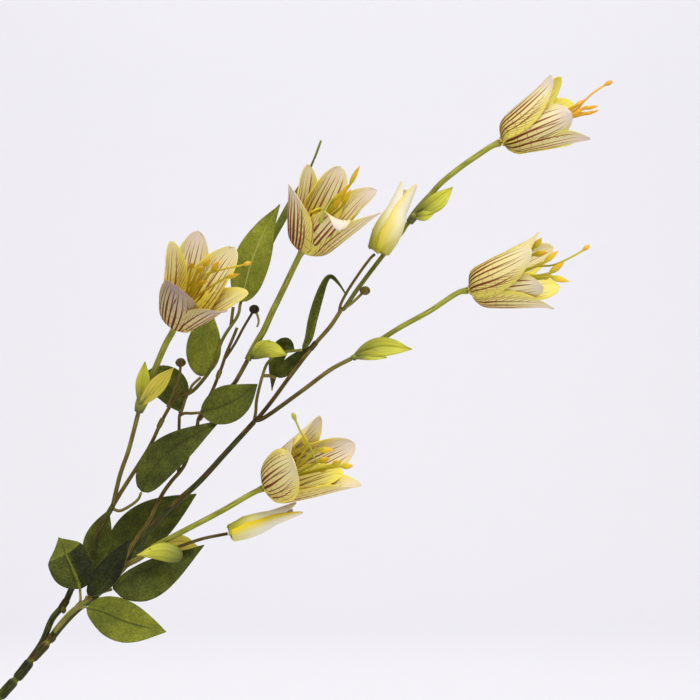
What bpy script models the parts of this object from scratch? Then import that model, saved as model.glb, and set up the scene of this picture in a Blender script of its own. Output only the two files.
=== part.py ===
"""A spray of fritillary blooms, made of cloth and covered wire, in a plain glazed vase.

Places are in millimetres in the object's own frame: +X to the right, +Y away
from the front, +Z up, with the origin under the middle of the vase.
"""
import math

import bmesh
import bpy
from mathutils import Matrix, Vector

MM = 0.001
FRONT = Vector((0, -1, 0))
TOUCH = 0.3

VASE_HEIGHT = 200
VASE_BASE_RADIUS = 38
VASE_BELLY_RADIUS = 50
VASE_BELLY_HEIGHT = 82
VASE_NECK_RADIUS = 27
VASE_NECK_HEIGHT = 178
VASE_MOUTH_RADIUS = 30
VASE_WALL = 4.5
VASE_FLOOR = 9
VASE_SIDES = 24

LEAF_THICKNESS = 0.7
PETAL_THICKNESS = 0.8
PETAL_WIDTH = 23
BUD_LAYER = 1.0
RECEPTACLE_RADIUS = 3.2
RECEPTACLE_HALF_HEIGHT = 2.0
RECEPTACLE_LIFT = 0.4
FILAMENT_RADIUS = 0.6
STYLE_RADIUS = 0.6
ANTHER_RADIUS = 1.5
ANTHER_LENGTH = 8.0
CORE_HEIGHT = 8
BALL_RADIUS = 3.2

CURVE_PARTS = 8
THICK_STEM = 1.9
THICK_STEM_STEP = 16
THIN_STEM_STEP = 11

# Stems: first radius, last radius, then the points that the stem runs through.
STEMS = {
    "foot": (2.6, 2.6, [
        (-25.5, 0, 12.5), (-20, 0, 34), (-12, 0, 66), (2, 0, 120), (13.2, 0, 164), (21.4, 0, 196),
        (32.6, 0, 224), (46, 0, 247), (60, 0, 265), (72, 0, 278.5), (78.5, 0, 287)]),
    "right_shoot": (2.4, 1.5, [
        (78.5, 0, 287), (88, 0, 297), (96, 0, 307), (105.5, -1, 317), (116, -1, 325),
        (126, 0, 334), (136, 0, 345), (140, 0, 349.5), (148, 1, 363), (157, 1, 374),
        (169.5, 1, 385), (180.5, 0, 395), (196, -1, 412), (212.5, -2, 430)]),
    "sleeve": (1.6, 1.6, [
        (92.5, -3.5, 304), (100, -3.5, 313), (106, -4, 318.5), (110, -4, 321), (115, -3.5, 325.5)]),
    "left_shoot": (2.0, 1.6, [
        (75.5, 0, 283.5), (85, 2, 297.5), (91, 3, 311.5), (98, 4, 320), (102, 6, 328.5),
        (107.5, 9, 340.5), (115, 9, 354), (120, 6, 366.5), (127.5, 2, 379.5)]),
    "flower_3_stem": (1.3, 1.3, [
        (127.5, 2, 379.5), (132, -1, 398), (137, -4, 412), (141, -8, 426), (144.9, -11.9, 441.1)]),
    "leafy_shoot": (1.3, 1.0, [
        (127.5, 2, 379.5), (133.5, 4, 389.5), (145, 6, 407.5), (150.5, 7, 417), (156, 8, 429),
        (161.5, 9, 439), (166.5, 12, 446), (169, 12, 449)]),
    "ball_2_stalk": (0.8, 0.75, [
        (160, 9, 438.5), (162, 9, 443), (165, 10, 450), (167, 10, 456), (168, 10, 463.5)]),
    "long_petiole": (1.1, 0.8, [
        (168, 12, 445.5), (172, 12, 446.5), (176, 12, 449), (181.5, 11, 455), (185.5, 11, 460.5),
        (189, 12, 467), (191.5, 13, 475.5), (194.5, 15, 482), (198.5, 16, 488),
        (201.5, 18, 492.5), (203, 20.7, 496.5), (203.6, 23.2, 501), (207, 24.5, 509.5),
        (216.3, 26.2, 525)]),
    "stub": (0.9, 0.9, [(198, 16, 487.5), (199.5, 16, 499)]),
    "middle_twig": (0.9, 0.9, [(166.5, 13, 399), (167.5, 8.5, 411), (167.3, 4, 423), (167.5, 2, 433.5)]),
    "twig_to_front_leaf": (0.9, 0.8, [
        (167.5, 2, 433.5), (170.5, 1, 435), (175, -1, 435), (180.1, -4.2, 435.5)]),
    "twig_to_back_leaf": (0.8, 0.8, [
        (167.5, 2, 433.5), (169, 7, 437), (171, 13, 444), (173.5, 14.7, 449), (175, 15.3, 452),
        (179.8, 16.3, 456.5)]),
    "twig_to_low_leaf": (0.9, 0.8, [(167.5, 2, 433.5), (168, 8, 434), (167.1, 14.3, 435.6)]),
    "thin_twig": (0.9, 0.8, [
        (212.5, -2, 430.5), (213.5, -2, 436), (214, -1, 443), (216, 0, 452), (217.5, 1, 457.5),
        (219.5, 3, 463.5), (222.5, 5, 467.5), (227.5, 6, 471), (231.5, 5, 472), (236.5, 1, 472.5),
        (241.2, -4.6, 473.1)]),
    "short_twig": (1.0, 0.9, [(217.5, 1, 457.5), (221.5, 4, 457.5), (225, 7.7, 456.4)]),
    "middle_branch": (1.25, 1.25, [
        (212.5, -2, 430.5), (215.5, -2, 433), (223.5, -2, 443), (234.5, -3, 458), (248, -4, 475.5),
        (258, -5, 487), (265, -6, 497.5)]),
    "bud_1_stalk": (0.8, 0.8, [
        (263.5, -6, 495.5), (264.5, -7, 500.5), (269, -9, 509), (276, -12, 519.5),
        (282, -14, 527.5), (284.9, -14, 530.2)]),
    "upper_branch": (1.3, 1.3, [
        (265, -6, 497.5), (267, -5, 498.5), (274.5, -4, 509.5), (290, -3, 530), (301, -2, 543.5),
        (303.5, -2, 547.5), (307.3, -3, 551.6)]),
    "ball_3_stalk": (0.8, 0.8, [(266.5, -5.5, 498), (271, -6, 501), (278.2, -7.6, 507.7)]),
    "lower_branch": (1.2, 1.2, [
        (212.5, -2, 430.5), (219.5, -3, 433), (240.5, -5, 448), (258, -7, 461), (270.7, -8.9, 467.8)]),
    "back_shoot": (1.3, 0.9, [
        (136, 1, 345.5), (137.5, 7, 352.5), (141.5, 10, 359.5), (149, 12, 370.5),
        (156.5, 13, 385.5), (162, 13, 393.5), (170.5, 13, 404.5), (177.5, 13, 426),
        (179, 13, 432.5), (187, 12, 448.5), (191, 11, 458.5), (193, 10, 463.5), (195, 8, 469.5),
        (197.5, 8, 475.5), (200, 9, 481.5), (202, 9, 486.5)]),
    "ball_1_stalk": (0.75, 0.75, [
        (195, 8, 468), (199, 7, 474), (202, 6, 479), (206, 5, 486.5), (211.8, 5, 496.3)]),
    "ball_1_spur": (0.7, 0.6, [(213, 5, 497), (214.5, 3, 493.5), (215.2, 1, 490), (214.3, -1, 487)]),
    "flower_4_stem": (1.3, 1.3, [
        (179, 13, 431), (183, 12, 436), (188.5, 10, 441.5), (199.5, 6, 452), (203.5, 4, 458),
        (208.3, 2.1, 466.6)]),
    "low_stem": (1.7, 1.6, [(133, 0, 342), (136.5, -4, 344.5), (144, -9, 348.5), (150.7, -13.4, 353.8)]),
    "bud_2_stalk": (1.0, 0.9, [
        (149, -12, 352), (155.5, -12, 352.5), (164.5, -11, 354.5), (181, -11, 360),
        (192.5, -12, 362.5), (197, -12, 363.3)]),
    "petiole_1": (0.9, 0.8, [(106, -1, 319.5), (108.5, -4, 322.5), (108.5, -7, 329.5)]),
    "petiole_2": (0.9, 0.8, [(105, -2, 317), (109, -4.5, 318.8), (112, -6, 319.3)]),
    "petiole_3": (0.9, 0.8, [(110, -1.5, 321), (111.5, -4.5, 323), (112.5, -6.4, 325.7)]),
    "petiole_4": (0.9, 0.8, [(114, -1, 324), (122, -4, 328), (127.5, -5, 329.7)]),
    "petiole_5": (1.0, 0.9, [(122, 0, 331), (123, 6, 334.5), (124, 13, 338.5)]),
    "petiole_6": (1.0, 0.9, [(107, 9, 339.5), (111, 11, 338.5), (114.2, 12.7, 336.8)]),
    "petiole_7": (0.9, 0.8, [
        (128, 1, 377.5), (132, 0, 376.5), (138, -1, 379.5), (143, -2, 383.5), (144.8, -3.2, 387.6)]),
}
BALLS = [(212.5, 5, 497.5), (168, 10, 465.5), (279, -8, 508.5)]
# Collars where one covered wire is pushed into the next: stem, point, length.
COLLARS = [
    ("foot", 10, 7), ("right_shoot", 1, 6), ("left_shoot", 3, 7), ("right_shoot", 4, 6),
    ("right_shoot", 7, 7), ("leafy_shoot", 4, 6), ("middle_branch", 4, 6), ("back_shoot", 10, 5),
]
COLLAR_EXTRA = 0.45

# Leaves: points along the rib, full widths left and right of it, where the leaf
# is widest, how pointed the tip is, roll, twist, fold at the rib, and edge wave.
LEAVES = [
    dict(rib=[(108.5, -7.5, 330.5), (107, -9.5, 337.5), (105, -11, 344), (102.5, -10.5, 351),
              (99, -6, 355.5), (95, -1, 360)],
         left=13, right=12.5, widest=0.42, tip=1.0, roll=0, twist=0, fold=8, wave=0.5),
    dict(rib=[(112.6, -6.5, 318.8), (123, -8, 316), (138, -9, 310), (160, -8, 304.5)],
         left=12.5, right=13, widest=0.42, tip=1.0, roll=0, twist=0, fold=10, wave=0.8),
    dict(rib=[(113, -6.6, 326.3), (120, -6.5, 333), (128.5, -6.5, 343.5), (137.5, -6, 359)],
         left=8, right=8, widest=0.42, tip=0.9, roll=12, twist=0, fold=20, wave=0.4),
    dict(rib=[(128, -5.5, 330), (137, -6, 336), (146.5, -6, 341), (162, -5, 348), (182.5, -2, 356)],
         left=4.5, right=18, widest=0.34, tip=1.0, roll=4, twist=0, fold=10, wave=0.8),
    dict(rib=[(124.2, 14, 339.3), (134.5, 21, 354), (149.5, 23, 367.5), (177, 20, 386)],
         left=15, right=13, widest=0.45, tip=1.0, roll=0, twist=0, fold=12, wave=0.8),
    dict(rib=[(115, 13.5, 337.8), (116.5, 14, 351), (119.5, 15, 363), (124.5, 14, 376.5)],
         left=8.5, right=8.5, widest=0.45, tip=1.0, roll=0, twist=0, fold=12, wave=0.4),
    dict(rib=[(167, 15, 436.4), (165, 18.5, 442), (161, 20.5, 450), (154, 20, 456), (145.5, 18, 458.5)],
         left=9.5, right=11.5, widest=0.5, tip=0.9, roll=0, twist=0, fold=10, wave=0.5),
    dict(rib=[(180.3, 16.8, 457.2), (181, 18, 467), (182.5, 18, 482), (185, 17, 500)],
         left=10.5, right=10.5, widest=0.38, tip=1.0, roll=0, twist=0, fold=10, wave=0.6),
    dict(rib=[(180.8, -4.5, 435.7), (191.5, -6, 438.5), (203, -6, 444), (214.5, -4, 452.5)],
         left=11.5, right=11.5, widest=0.42, tip=1.0, roll=0, twist=0, fold=14, wave=0.7),
    dict(rib=[(145, -3.5, 388.2), (154.5, -5, 405), (167.5, -5, 416), (192.5, -4, 431)],
         left=10.5, right=11.5, widest=0.36, tip=1.1, roll=0, twist=0, fold=16, wave=0.9),
    dict(rib=[(203.4, 21.4, 502.3), (206.5, 20.5, 512), (210.3, 20.5, 526), (218.5, 21, 546),
              (227.5, 19, 561)],
         left=11, right=11, widest=0.36, tip=1.1, roll=0, twist=0, fold=10, wave=0.9),
    dict(rib=[(216.8, 26.5, 526), (225.5, 27, 542.5), (233.5, 28, 557), (246.5, 28, 584),
              (252.5, 26, 600)],
         left=7.5, right=7.5, widest=0.36, tip=1.2, roll=76, twist=0, fold=14, wave=0.6),
    dict(rib=[(241.7, -5, 473.6), (245, -5, 480), (247.5, -6, 491), (251, -7, 503),
              (255, -8, 513.5), (258.5, -9, 517), (263, -11, 513), (268, -12, 505.5)],
         left=3.6, right=3.6, widest=0.42, tip=1.0, roll=-25, twist=50, fold=18, wave=0.3),
    dict(rib=[(226, 8.4, 456.9), (232.5, 8, 462), (240, 7, 469), (247.5, 5, 476)],
         left=6.5, right=6.5, widest=0.35, tip=1.0, roll=20, twist=0, fold=14, wave=0.4),
    dict(rib=[(236.2, 2.8, 473.8), (231, 9.5, 476.5), (227, 13, 472), (224, 14, 461), (223, 12, 448.5)],
         left=5.5, right=5.5, widest=0.4, tip=1.0, roll=0, twist=0, fold=14, wave=0.4),
]

# Blooms: base, lean of the axis in the front view from +X, turn of the axis to the front,
# turn of the first petal, petal length, opening angle of each petal, pedicel, anthers, style.
BLOOMS = [
    dict(base=(361.5, -6, 598), rise=25, forward=8, spin=10, length=54,
         opening=[28, 15, 10, 11, 13, 23],
         pedicel=(1.5, 1.6, [
             (307.5, -3, 552), (317.5, -4, 565), (324, -4, 572.5), (333, -5, 580),
             (340.5, -5, 585.5)]),
         anthers=[(2, 4.5, 61), (-3, 7.5, 60), (-1, 0, 58), (5, 5.8, 47), (4, -1, 53), (-5, 5, 53)],
         style=[(0, 0, 40), (0, 1, 62), (1, -4.5, 75)]),
    dict(base=(342, -14, 509), rise=15, forward=14, spin=25, length=55,
         opening=[20, 15, 12, 16, 10, 17],
         pedicel=(1.4, 1.5, [
             (271, -9, 468), (285, -10, 477), (300, -12, 486.5), (318, -13, 496.5)]),
         anthers=[(3, 10, 60), (-3, 0, 59), (4, -8, 58), (0, -9, 52), (-6, -13, 49), (6, 4, 50)],
         style=[(0, 0, 36), (0, 3, 58), (0, -6.5, 76)]),
    dict(base=(167, -25, 489), rise=63, forward=38, spin=33, length=59,
         opening=[28, 24, 14, 20, 18, 28],
         pedicel=(1.7, 1.8, [
             (145, -12, 441.5), (153, -16, 460), (160, -19, 476)]),
         anthers=[(-8, 15, 48), (-6, 5.3, 49), (4, -3, 48), (2, -8, 46), (7, 6, 47), (-2, 10, 52)],
         style=[(0, 4, 36), (-4, 14, 52), (-6, 19, 58)]),
    dict(base=(242.5, -18, 533.5), rise=60, forward=30, spin=15, length=57,
         opening=[24, 20, 22, 15, 14, 27],
         pedicel=(1.9, 1.6, [
             (208.5, 2, 467), (211.5, 1, 473), (215.5, -1, 480), (218.5, -2, 485),
             (223.5, -4, 496), (228.5, -7, 506)]),
         anthers=[(11, -7, 36), (4, 5, 50), (-6, 1, 56), (-4, -6, 50), (6, 9, 46), (-2, 8, 52)],
         style=[(0, 0, 36), (-5, 0, 54), (-9, 2, 64)]),
    dict(base=(220, -20, 391.5), rise=25, forward=20, spin=10, length=58,
         opening=[30, 14, 12, 15, 19, 24],
         pedicel=(1.6, 1.5, [
             (151.5, -14, 354.4), (155, -14, 356.8), (174.5, -15, 367), (192.5, -17, 376.5),
             (204.5, -18, 383.5)]),
         anthers=[(3, -16, 36), (4, -7, 46), (5, 3, 50), (2, 8, 57), (-6, -4, 48), (-4, 5, 50)],
         style=[(4, -2, 24), (5, -14, 36), (6, -26, 38)]),
]

# Closed buds: base, lean and forward turn of the axis, length, greatest radius.
BUDS = [
    dict(base=(286, -14, 531), rise=65, forward=4, spin=20, length=46, radius=9),
    dict(base=(197.5, -12, 363.5), rise=20, forward=2, spin=-30, length=45, radius=6.8),
]

# Bracts: where they hold the stem, and the leaf-like blades that they are made of.
BRACTS = [
    dict(knob=(308, -6.6, 553.2), blades=[
        dict(rib=[(308, -6.4, 552.5), (318, -7, 560), (331.5, -7, 570)], left=6, right=6),
        dict(rib=[(308, -6.8, 553), (315, -8.2, 552.8), (323, -9, 556)], left=3.5, right=3)]),
    dict(knob=(272.5, -13, 468.6), blades=[
        dict(rib=[(272, -13, 468.3), (286.5, -14, 475), (307, -13, 473.5)], left=6, right=5),
        dict(rib=[(272, -13, 468.5), (282, -15, 470), (292, -16, 468.5)], left=3, right=3)]),
    dict(knob=(145.2, -15.7, 442), blades=[
        dict(rib=[(145, -15.6, 441), (147, -17, 450.5), (148.5, -17, 466)], left=3.4, right=3),
        dict(rib=[(145.5, -15.8, 441), (154.5, -19, 450.5), (165.5, -19, 463)], left=5.5, right=5)]),
    dict(knob=(212.4, -2.6, 470.5), blades=[
        dict(rib=[(211.5, -2.6, 469.8), (221, -6, 475.5), (231.8, -7, 470)], left=5, right=5),
        dict(rib=[(212, -2.8, 471), (218, -5, 478), (222, -6, 480)], left=3, right=3)]),
    dict(knob=(151.5, -17.8, 353.3), blades=[
        dict(rib=[(151, -18, 353), (160, -20, 354), (169.8, -20, 350.5)], left=4.5, right=4.5),
        dict(rib=[(152.5, -18, 353.3), (148, -19, 352), (142, -19, 351)], left=4, right=3.5)]),
]
BRACT_KNOB_RADIUS = 1.7


def point(place):
    """A place in millimetres as a vector in metres."""
    return Vector(place) * MM


def remove_all_objects():
    for obj in list(bpy.data.objects):
        bpy.data.objects.remove(obj, do_unlink=True)


def plain_material(name, colour, roughness):
    material = bpy.data.materials.new(name)
    material.use_nodes = True
    shader = material.node_tree.nodes["Principled BSDF"]
    shader.inputs["Base Color"].default_value = (*colour, 1)
    shader.inputs["Roughness"].default_value = roughness
    shader.inputs["Metallic"].default_value = 0
    return material


def smooth_route(places, step):
    """Points about a step apart on a smooth curve through the given places, in metres."""
    knots = [point(place) for place in places]
    knots = [2 * knots[0] - knots[1], *knots, 2 * knots[-1] - knots[-2]]
    fine = []
    for before, start, end, after in zip(knots, knots[1:], knots[2:], knots[3:]):
        for index in range(CURVE_PARTS):
            t = index / CURVE_PARTS
            fine.append(0.5 * (
                2 * start + (end - before) * t
                + (2 * before - 5 * start + 4 * end - after) * t ** 2
                + (3 * start - before - 3 * end + after) * t ** 3))
    fine.append(knots[-2])
    reach = [0.0]
    for start, end in zip(fine, fine[1:]):
        reach.append(reach[-1] + (end - start).length)
    count = max(2, round(reach[-1] / (step * MM)))
    route = [fine[0]]
    index = 0
    for stop in range(1, count):
        goal = reach[-1] * stop / count
        while reach[index + 1] < goal:
            index += 1
        part = (goal - reach[index]) / (reach[index + 1] - reach[index])
        route.append(fine[index].lerp(fine[index + 1], part))
    route.append(fine[-1])
    return route


def mesh_object(name, mesh):
    obj = bpy.data.objects.new(name, mesh)
    bpy.context.scene.collection.objects.link(obj)
    return obj


def evaluated_copy(obj):
    """A mesh object with an object's curve or modifiers applied, in the object's place."""
    bpy.context.view_layer.update()
    graph = bpy.context.evaluated_depsgraph_get()
    mesh = bpy.data.meshes.new_from_object(obj.evaluated_get(graph))
    form = bmesh.new()
    form.from_mesh(mesh)
    bmesh.ops.remove_doubles(form, verts=form.verts, dist=0.001 * MM)
    form.to_mesh(mesh)
    form.free()
    name = obj.name
    place = obj.matrix_world.copy()
    bpy.data.objects.remove(obj, do_unlink=True)
    copy = mesh_object(name, mesh)
    copy.matrix_world = place
    return copy


def tube(name, route, radii, sides=6):
    """A closed tube along a route in metres, with a radius in millimetres at each point."""
    curve = bpy.data.curves.new(name, "CURVE")
    curve.dimensions = "3D"
    curve.bevel_depth = MM
    curve.bevel_resolution = sides // 2 - 2
    curve.use_fill_caps = True
    spline = curve.splines.new("POLY")
    spline.points.add(len(route) - 1)
    for knot, place, radius in zip(spline.points, route, radii):
        knot.co = (*place, 1)
        knot.radius = radius
    obj = bpy.data.objects.new(name, curve)
    bpy.context.scene.collection.objects.link(obj)
    return evaluated_copy(obj)


def tapered_tube(name, route, first, last, sides=6):
    count = len(route) - 1
    radii = [first + (last - first) * index / count for index in range(count + 1)]
    return tube(name, route, radii, sides)


def ball(name, centre, radii, sides=6):
    """A round body of three half sizes in millimetres about a centre in metres."""
    form = bmesh.new()
    bmesh.ops.create_uvsphere(form, u_segments=sides, v_segments=5, radius=MM)
    bmesh.ops.scale(form, vec=radii, verts=form.verts)
    bmesh.ops.translate(form, vec=centre, verts=form.verts)
    mesh = bpy.data.meshes.new(name)
    form.to_mesh(mesh)
    form.free()
    return mesh_object(name, mesh)


def sheet(name, across, along, thickness, shape):
    """A bent sheet of even thickness: shape gives the place of each point of its grid."""
    form = bmesh.new()
    bmesh.ops.create_grid(form, x_segments=across, y_segments=along, size=1)
    for corner in form.verts:
        corner.co = shape(corner.co.x, (corner.co.y + 1) / 2)
    bmesh.ops.triangulate(form, faces=form.faces)
    mesh = bpy.data.meshes.new(name)
    form.to_mesh(mesh)
    form.free()
    obj = mesh_object(name, mesh)
    wall = obj.modifiers.new("Thickness", "SOLIDIFY")
    wall.thickness = thickness * MM
    wall.offset = 0
    return obj


def islands(form):
    """The points of a mesh, in groups that edges join."""
    waiting = set(form.verts)
    groups = []
    while waiting:
        group = []
        front = [waiting.pop()]
        while front:
            corner = front.pop()
            group.append(corner)
            for edge in corner.link_edges:
                other = edge.other_vert(corner)
                if other in waiting:
                    waiting.remove(other)
                    front.append(other)
        groups.append(group)
    return groups


def fill_hollows(obj):
    """Keeps the outer skin alone: drops the walls of sealed hollows, and loose scraps."""
    form = bmesh.new()
    form.from_mesh(obj.data)
    groups = sorted(islands(form), key=len)
    for group in groups[:-1]:
        bmesh.ops.delete(form, geom=group, context="VERTS")
    form.to_mesh(obj.data)
    form.free()


def fuse(name, pieces):
    """One closed body from pieces that run into each other."""
    body, *others = [evaluated_copy(piece) if piece.modifiers else piece for piece in pieces]
    body.name = name
    if not others:
        return body
    joined = bpy.data.collections.new("Joined")
    bpy.context.scene.collection.children.link(joined)
    for other in others:
        joined.objects.link(other)
    union = body.modifiers.new("Union", "BOOLEAN")
    union.operation = "UNION"
    union.operand_type = "COLLECTION"
    union.collection = joined
    union.solver = "EXACT"
    body = evaluated_copy(body)
    for other in others:
        bpy.data.objects.remove(other, do_unlink=True)
    bpy.data.collections.remove(joined)
    fill_hollows(body)
    body.name = name
    return body


def keep(obj, collection, material):
    """Puts a finished piece in the object's collection with its material."""
    bpy.context.scene.collection.objects.unlink(obj)
    collection.objects.link(obj)
    obj.data.materials.clear()
    obj.data.materials.append(material)
    obj.data.shade_smooth()
    obj.data.set_sharp_from_angle(angle=math.radians(40))
    return obj


def outline_width(t, widest, tip):
    """How wide a pointed leaf is at t along it, from 0 to 1, as a share of its greatest width."""
    bend = math.log(0.5) / math.log(widest)
    power = 0.75 + (tip - 0.75) * t
    return math.sin(math.pi * min(max(t, 0.0), 1.0) ** bend) ** power if 0 < t < 1 else 0.0


def blade_shape(rib, left, right, widest=0.42, tip=1.0, roll=0, twist=0, fold=12, wave=0.0):
    """The surface of a leaf: u runs from its left edge at -1 to its right edge at 1."""
    line = smooth_route(rib, 1.5)

    def shape(u, t):
        reach = t * (len(line) - 1)
        index = min(int(reach), len(line) - 2)
        centre = line[index].lerp(line[index + 1], reach - index)
        ahead = line[min(index + 2, len(line) - 1)]
        behind = line[max(index - 1, 0)]
        run = (ahead - behind).normalized()
        face = (FRONT - run * FRONT.dot(run)).normalized()
        side = run.cross(face)
        turn = math.radians(roll + twist * t)
        across = side * math.cos(turn) + face * math.sin(turn)
        out = face * math.cos(turn) - side * math.sin(turn)
        half = (right if u > 0 else left) * outline_width(t, widest, tip) + 0.5
        lift = math.radians(fold)
        ripple = wave * u * u * math.sin(9 * t + 2 * u)
        return (centre + across * (u * half * math.cos(lift) * MM)
                + out * ((abs(u) * half * math.sin(lift) + ripple) * MM))

    return shape


def petal_line(opening, length, count=24):
    """Radius and height in millimetres along a petal's middle, from the cup to its tip."""
    radius = 1.8
    height = 0.0
    line = [(radius, height)]
    for index in range(count):
        reach = min((index + 0.5) / count / 0.32, 1.0)
        ease = reach * reach * (3 - 2 * reach)
        angle = math.radians(80 + (opening - 80) * ease)
        radius += math.sin(angle) * length / count
        height += math.cos(angle) * length / count
        line.append((radius, height))
    return line


def petal_shape(turn, opening, length, width, inward=0.0):
    """The surface of a petal that curls round the bloom's axis, which is +Z."""
    line = petal_line(opening, length)

    def shape(u, t):
        reach = t * (len(line) - 1)
        index = min(int(reach), len(line) - 2)
        part = reach - index
        radius = line[index][0] * (1 - part) + line[index + 1][0] * part
        height = line[index][1] * (1 - part) + line[index + 1][1] * part
        radius -= inward * min(t * 4, 1.0)
        half = width / 2 * (0.1 * (1 - t) ** 2 + abs(math.sin(math.pi * t ** 1.1)) ** 0.7) + 0.5
        bend = max(radius * (1.15 if inward == 0 else 1.0), half / 1.15)
        angle = u * half / bend
        spot = Vector((radius - bend + bend * math.cos(angle), bend * math.sin(angle), height))
        return Matrix.Rotation(turn, 3, "Z") @ spot * MM

    return shape


def bloom_place(base, rise, forward):
    """The frame of a bloom: its base, +Z along its axis and +X as near the front as can be."""
    rise = math.radians(rise)
    forward = math.radians(forward)
    axis = Vector((
        math.cos(rise) * math.cos(forward), -math.sin(forward), math.sin(rise) * math.cos(forward)))
    front = (FRONT - axis * FRONT.dot(axis)).normalized()
    side = axis.cross(front)
    turn = Matrix((front, side, axis)).transposed().to_4x4()
    return Matrix.Translation(point(base)) @ turn


def make_vase(collection, material):
    outside = [
        (VASE_BASE_RADIUS - 2, 0), (VASE_BASE_RADIUS, 2), (44.5, 24),
        (VASE_BELLY_RADIUS - 1, 54), (VASE_BELLY_RADIUS, VASE_BELLY_HEIGHT), (46, 120),
        (36, 152), (VASE_NECK_RADIUS + 1, 170), (VASE_NECK_RADIUS, VASE_NECK_HEIGHT),
        (VASE_NECK_RADIUS + 1, 190), (VASE_MOUTH_RADIUS, VASE_HEIGHT - 1.5)]
    inside = [
        (VASE_MOUTH_RADIUS - 1, VASE_HEIGHT), (VASE_MOUTH_RADIUS - VASE_WALL + 1.2, VASE_HEIGHT),
        (VASE_MOUTH_RADIUS - VASE_WALL, VASE_HEIGHT - 1.5), (VASE_NECK_RADIUS - VASE_WALL + 1, 190),
        (VASE_NECK_RADIUS - VASE_WALL, VASE_NECK_HEIGHT), (36 - VASE_WALL, 150),
        (46 - VASE_WALL, 118), (VASE_BELLY_RADIUS - VASE_WALL, VASE_BELLY_HEIGHT),
        (44 - VASE_WALL, 26), (31, VASE_FLOOR + 3), (26, VASE_FLOOR), (0, VASE_FLOOR)]
    profile = [(0, 0), *outside, *inside]
    profile.reverse()
    form = bmesh.new()
    corners = [form.verts.new(point((radius, 0, height))) for radius, height in profile]
    for start, end in zip(corners, corners[1:]):
        form.edges.new((start, end))
    mesh = bpy.data.meshes.new("vase")
    form.to_mesh(mesh)
    form.free()
    vase = mesh_object("vase", mesh)
    turned = vase.modifiers.new("Turned", "SCREW")
    turned.steps = VASE_SIDES
    turned.render_steps = VASE_SIDES
    turned.use_merge_vertices = True
    turned.merge_threshold = 0.00001
    keep(vase, collection, material)


def make_stems(collection, material):
    pieces = []
    for name, (first, last, places) in STEMS.items():
        thick = first > THICK_STEM
        route = smooth_route(places, THICK_STEM_STEP if thick else THIN_STEM_STEP)
        pieces.append(tapered_tube(name, route, first, last, 8 if thick else 6))
    for name, index, length in COLLARS:
        first, last, places = STEMS[name]
        middle = point(places[index])
        run = (point(places[min(index + 1, len(places) - 1)]) - point(places[index - 1])).normalized()
        radius = first + (last - first) * index / (len(places) - 1) + COLLAR_EXTRA
        half = run * length / 2 * MM
        pieces.append(tapered_tube("collar", [middle - half, middle + half], radius, radius))
    for centre in BALLS:
        pieces.append(ball("ball", point(centre), (BALL_RADIUS, BALL_RADIUS, BALL_RADIUS * 0.85)))
    keep(fuse("stems", pieces), collection, material)


def make_leaves(collection, material):
    for number, leaf in enumerate(LEAVES, start=1):
        blade = sheet(f"leaf_{number:02d}", 4, 7, LEAF_THICKNESS, blade_shape(**leaf))
        keep(blade, collection, material)


def make_bloom(number, bloom, collection, materials):
    place = bloom_place(bloom["base"], bloom["rise"], bloom["forward"])
    petals = []
    for index, opening in enumerate(bloom["opening"]):
        turn = math.radians(bloom["spin"] + 60 * index)
        inward = 1.3 * (index % 2)
        shape = petal_shape(turn, opening, bloom["length"], PETAL_WIDTH, inward)
        petals.append(sheet("petal", 3, 6, PETAL_THICKNESS, shape))
    cup_size = (RECEPTACLE_RADIUS, RECEPTACLE_RADIUS, RECEPTACLE_HALF_HEIGHT)
    cup = ball("cup", point((0, 0, RECEPTACLE_LIFT)), cup_size, 8)
    flower = fuse(f"petals_{number}", [cup, *petals])
    flower.matrix_world = place
    keep(flower, collection, materials["petal"])

    core_foot = RECEPTACLE_LIFT + RECEPTACLE_HALF_HEIGHT + TOUCH
    core = [point((0, 0, core_foot)), point((0, 0, CORE_HEIGHT))]
    pieces = [tapered_tube("core", core, 1.4, 1.2)]
    for x, y, height in bloom["anthers"]:
        tip = Vector((x, y, height))
        route = smooth_route([(0, 0, 5), (x * 0.3, y * 0.3, height * 0.45), tip], 20)
        pieces.append(tapered_tube("filament", route, FILAMENT_RADIUS, FILAMENT_RADIUS, 4))
        run = (route[-1] - route[-2]).normalized()
        middle = route[-1]
        spindle = [middle + run * (ANTHER_LENGTH * MM * reach) for reach in (-0.5, -0.2, 0.2, 0.5)]
        pieces.append(tube("anther", spindle, [0.6, ANTHER_RADIUS, ANTHER_RADIUS, 0.5], 4))
    route = smooth_route([(0, 0, 5), *bloom["style"]], 12)
    pieces.append(tapered_tube("style", route, STYLE_RADIUS, STYLE_RADIUS, 4))
    run = (route[-1] - route[-2]).normalized()
    knob = [route[-1] + run * (reach * MM) for reach in (-2.5, -0.5, 1.5, 2.5)]
    pieces.append(tube("stigma", knob, [0.7, 1.3, 1.5, 0.6], 4))
    stamens = fuse(f"stamens_{number}", pieces)
    stamens.matrix_world = place
    keep(stamens, collection, materials["anther"])

    first, last, places = bloom["pedicel"]
    foot = RECEPTACLE_HALF_HEIGHT - RECEPTACLE_LIFT + TOUCH
    ends = [place @ point((0, 0, -9)) / MM, place @ point((0, 0, -foot)) / MM]
    route = smooth_route([*places, *ends], 10)
    pedicel = tapered_tube(f"pedicel_{number}", route, first, last)
    keep(pedicel, collection, materials["pedicel"])


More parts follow.
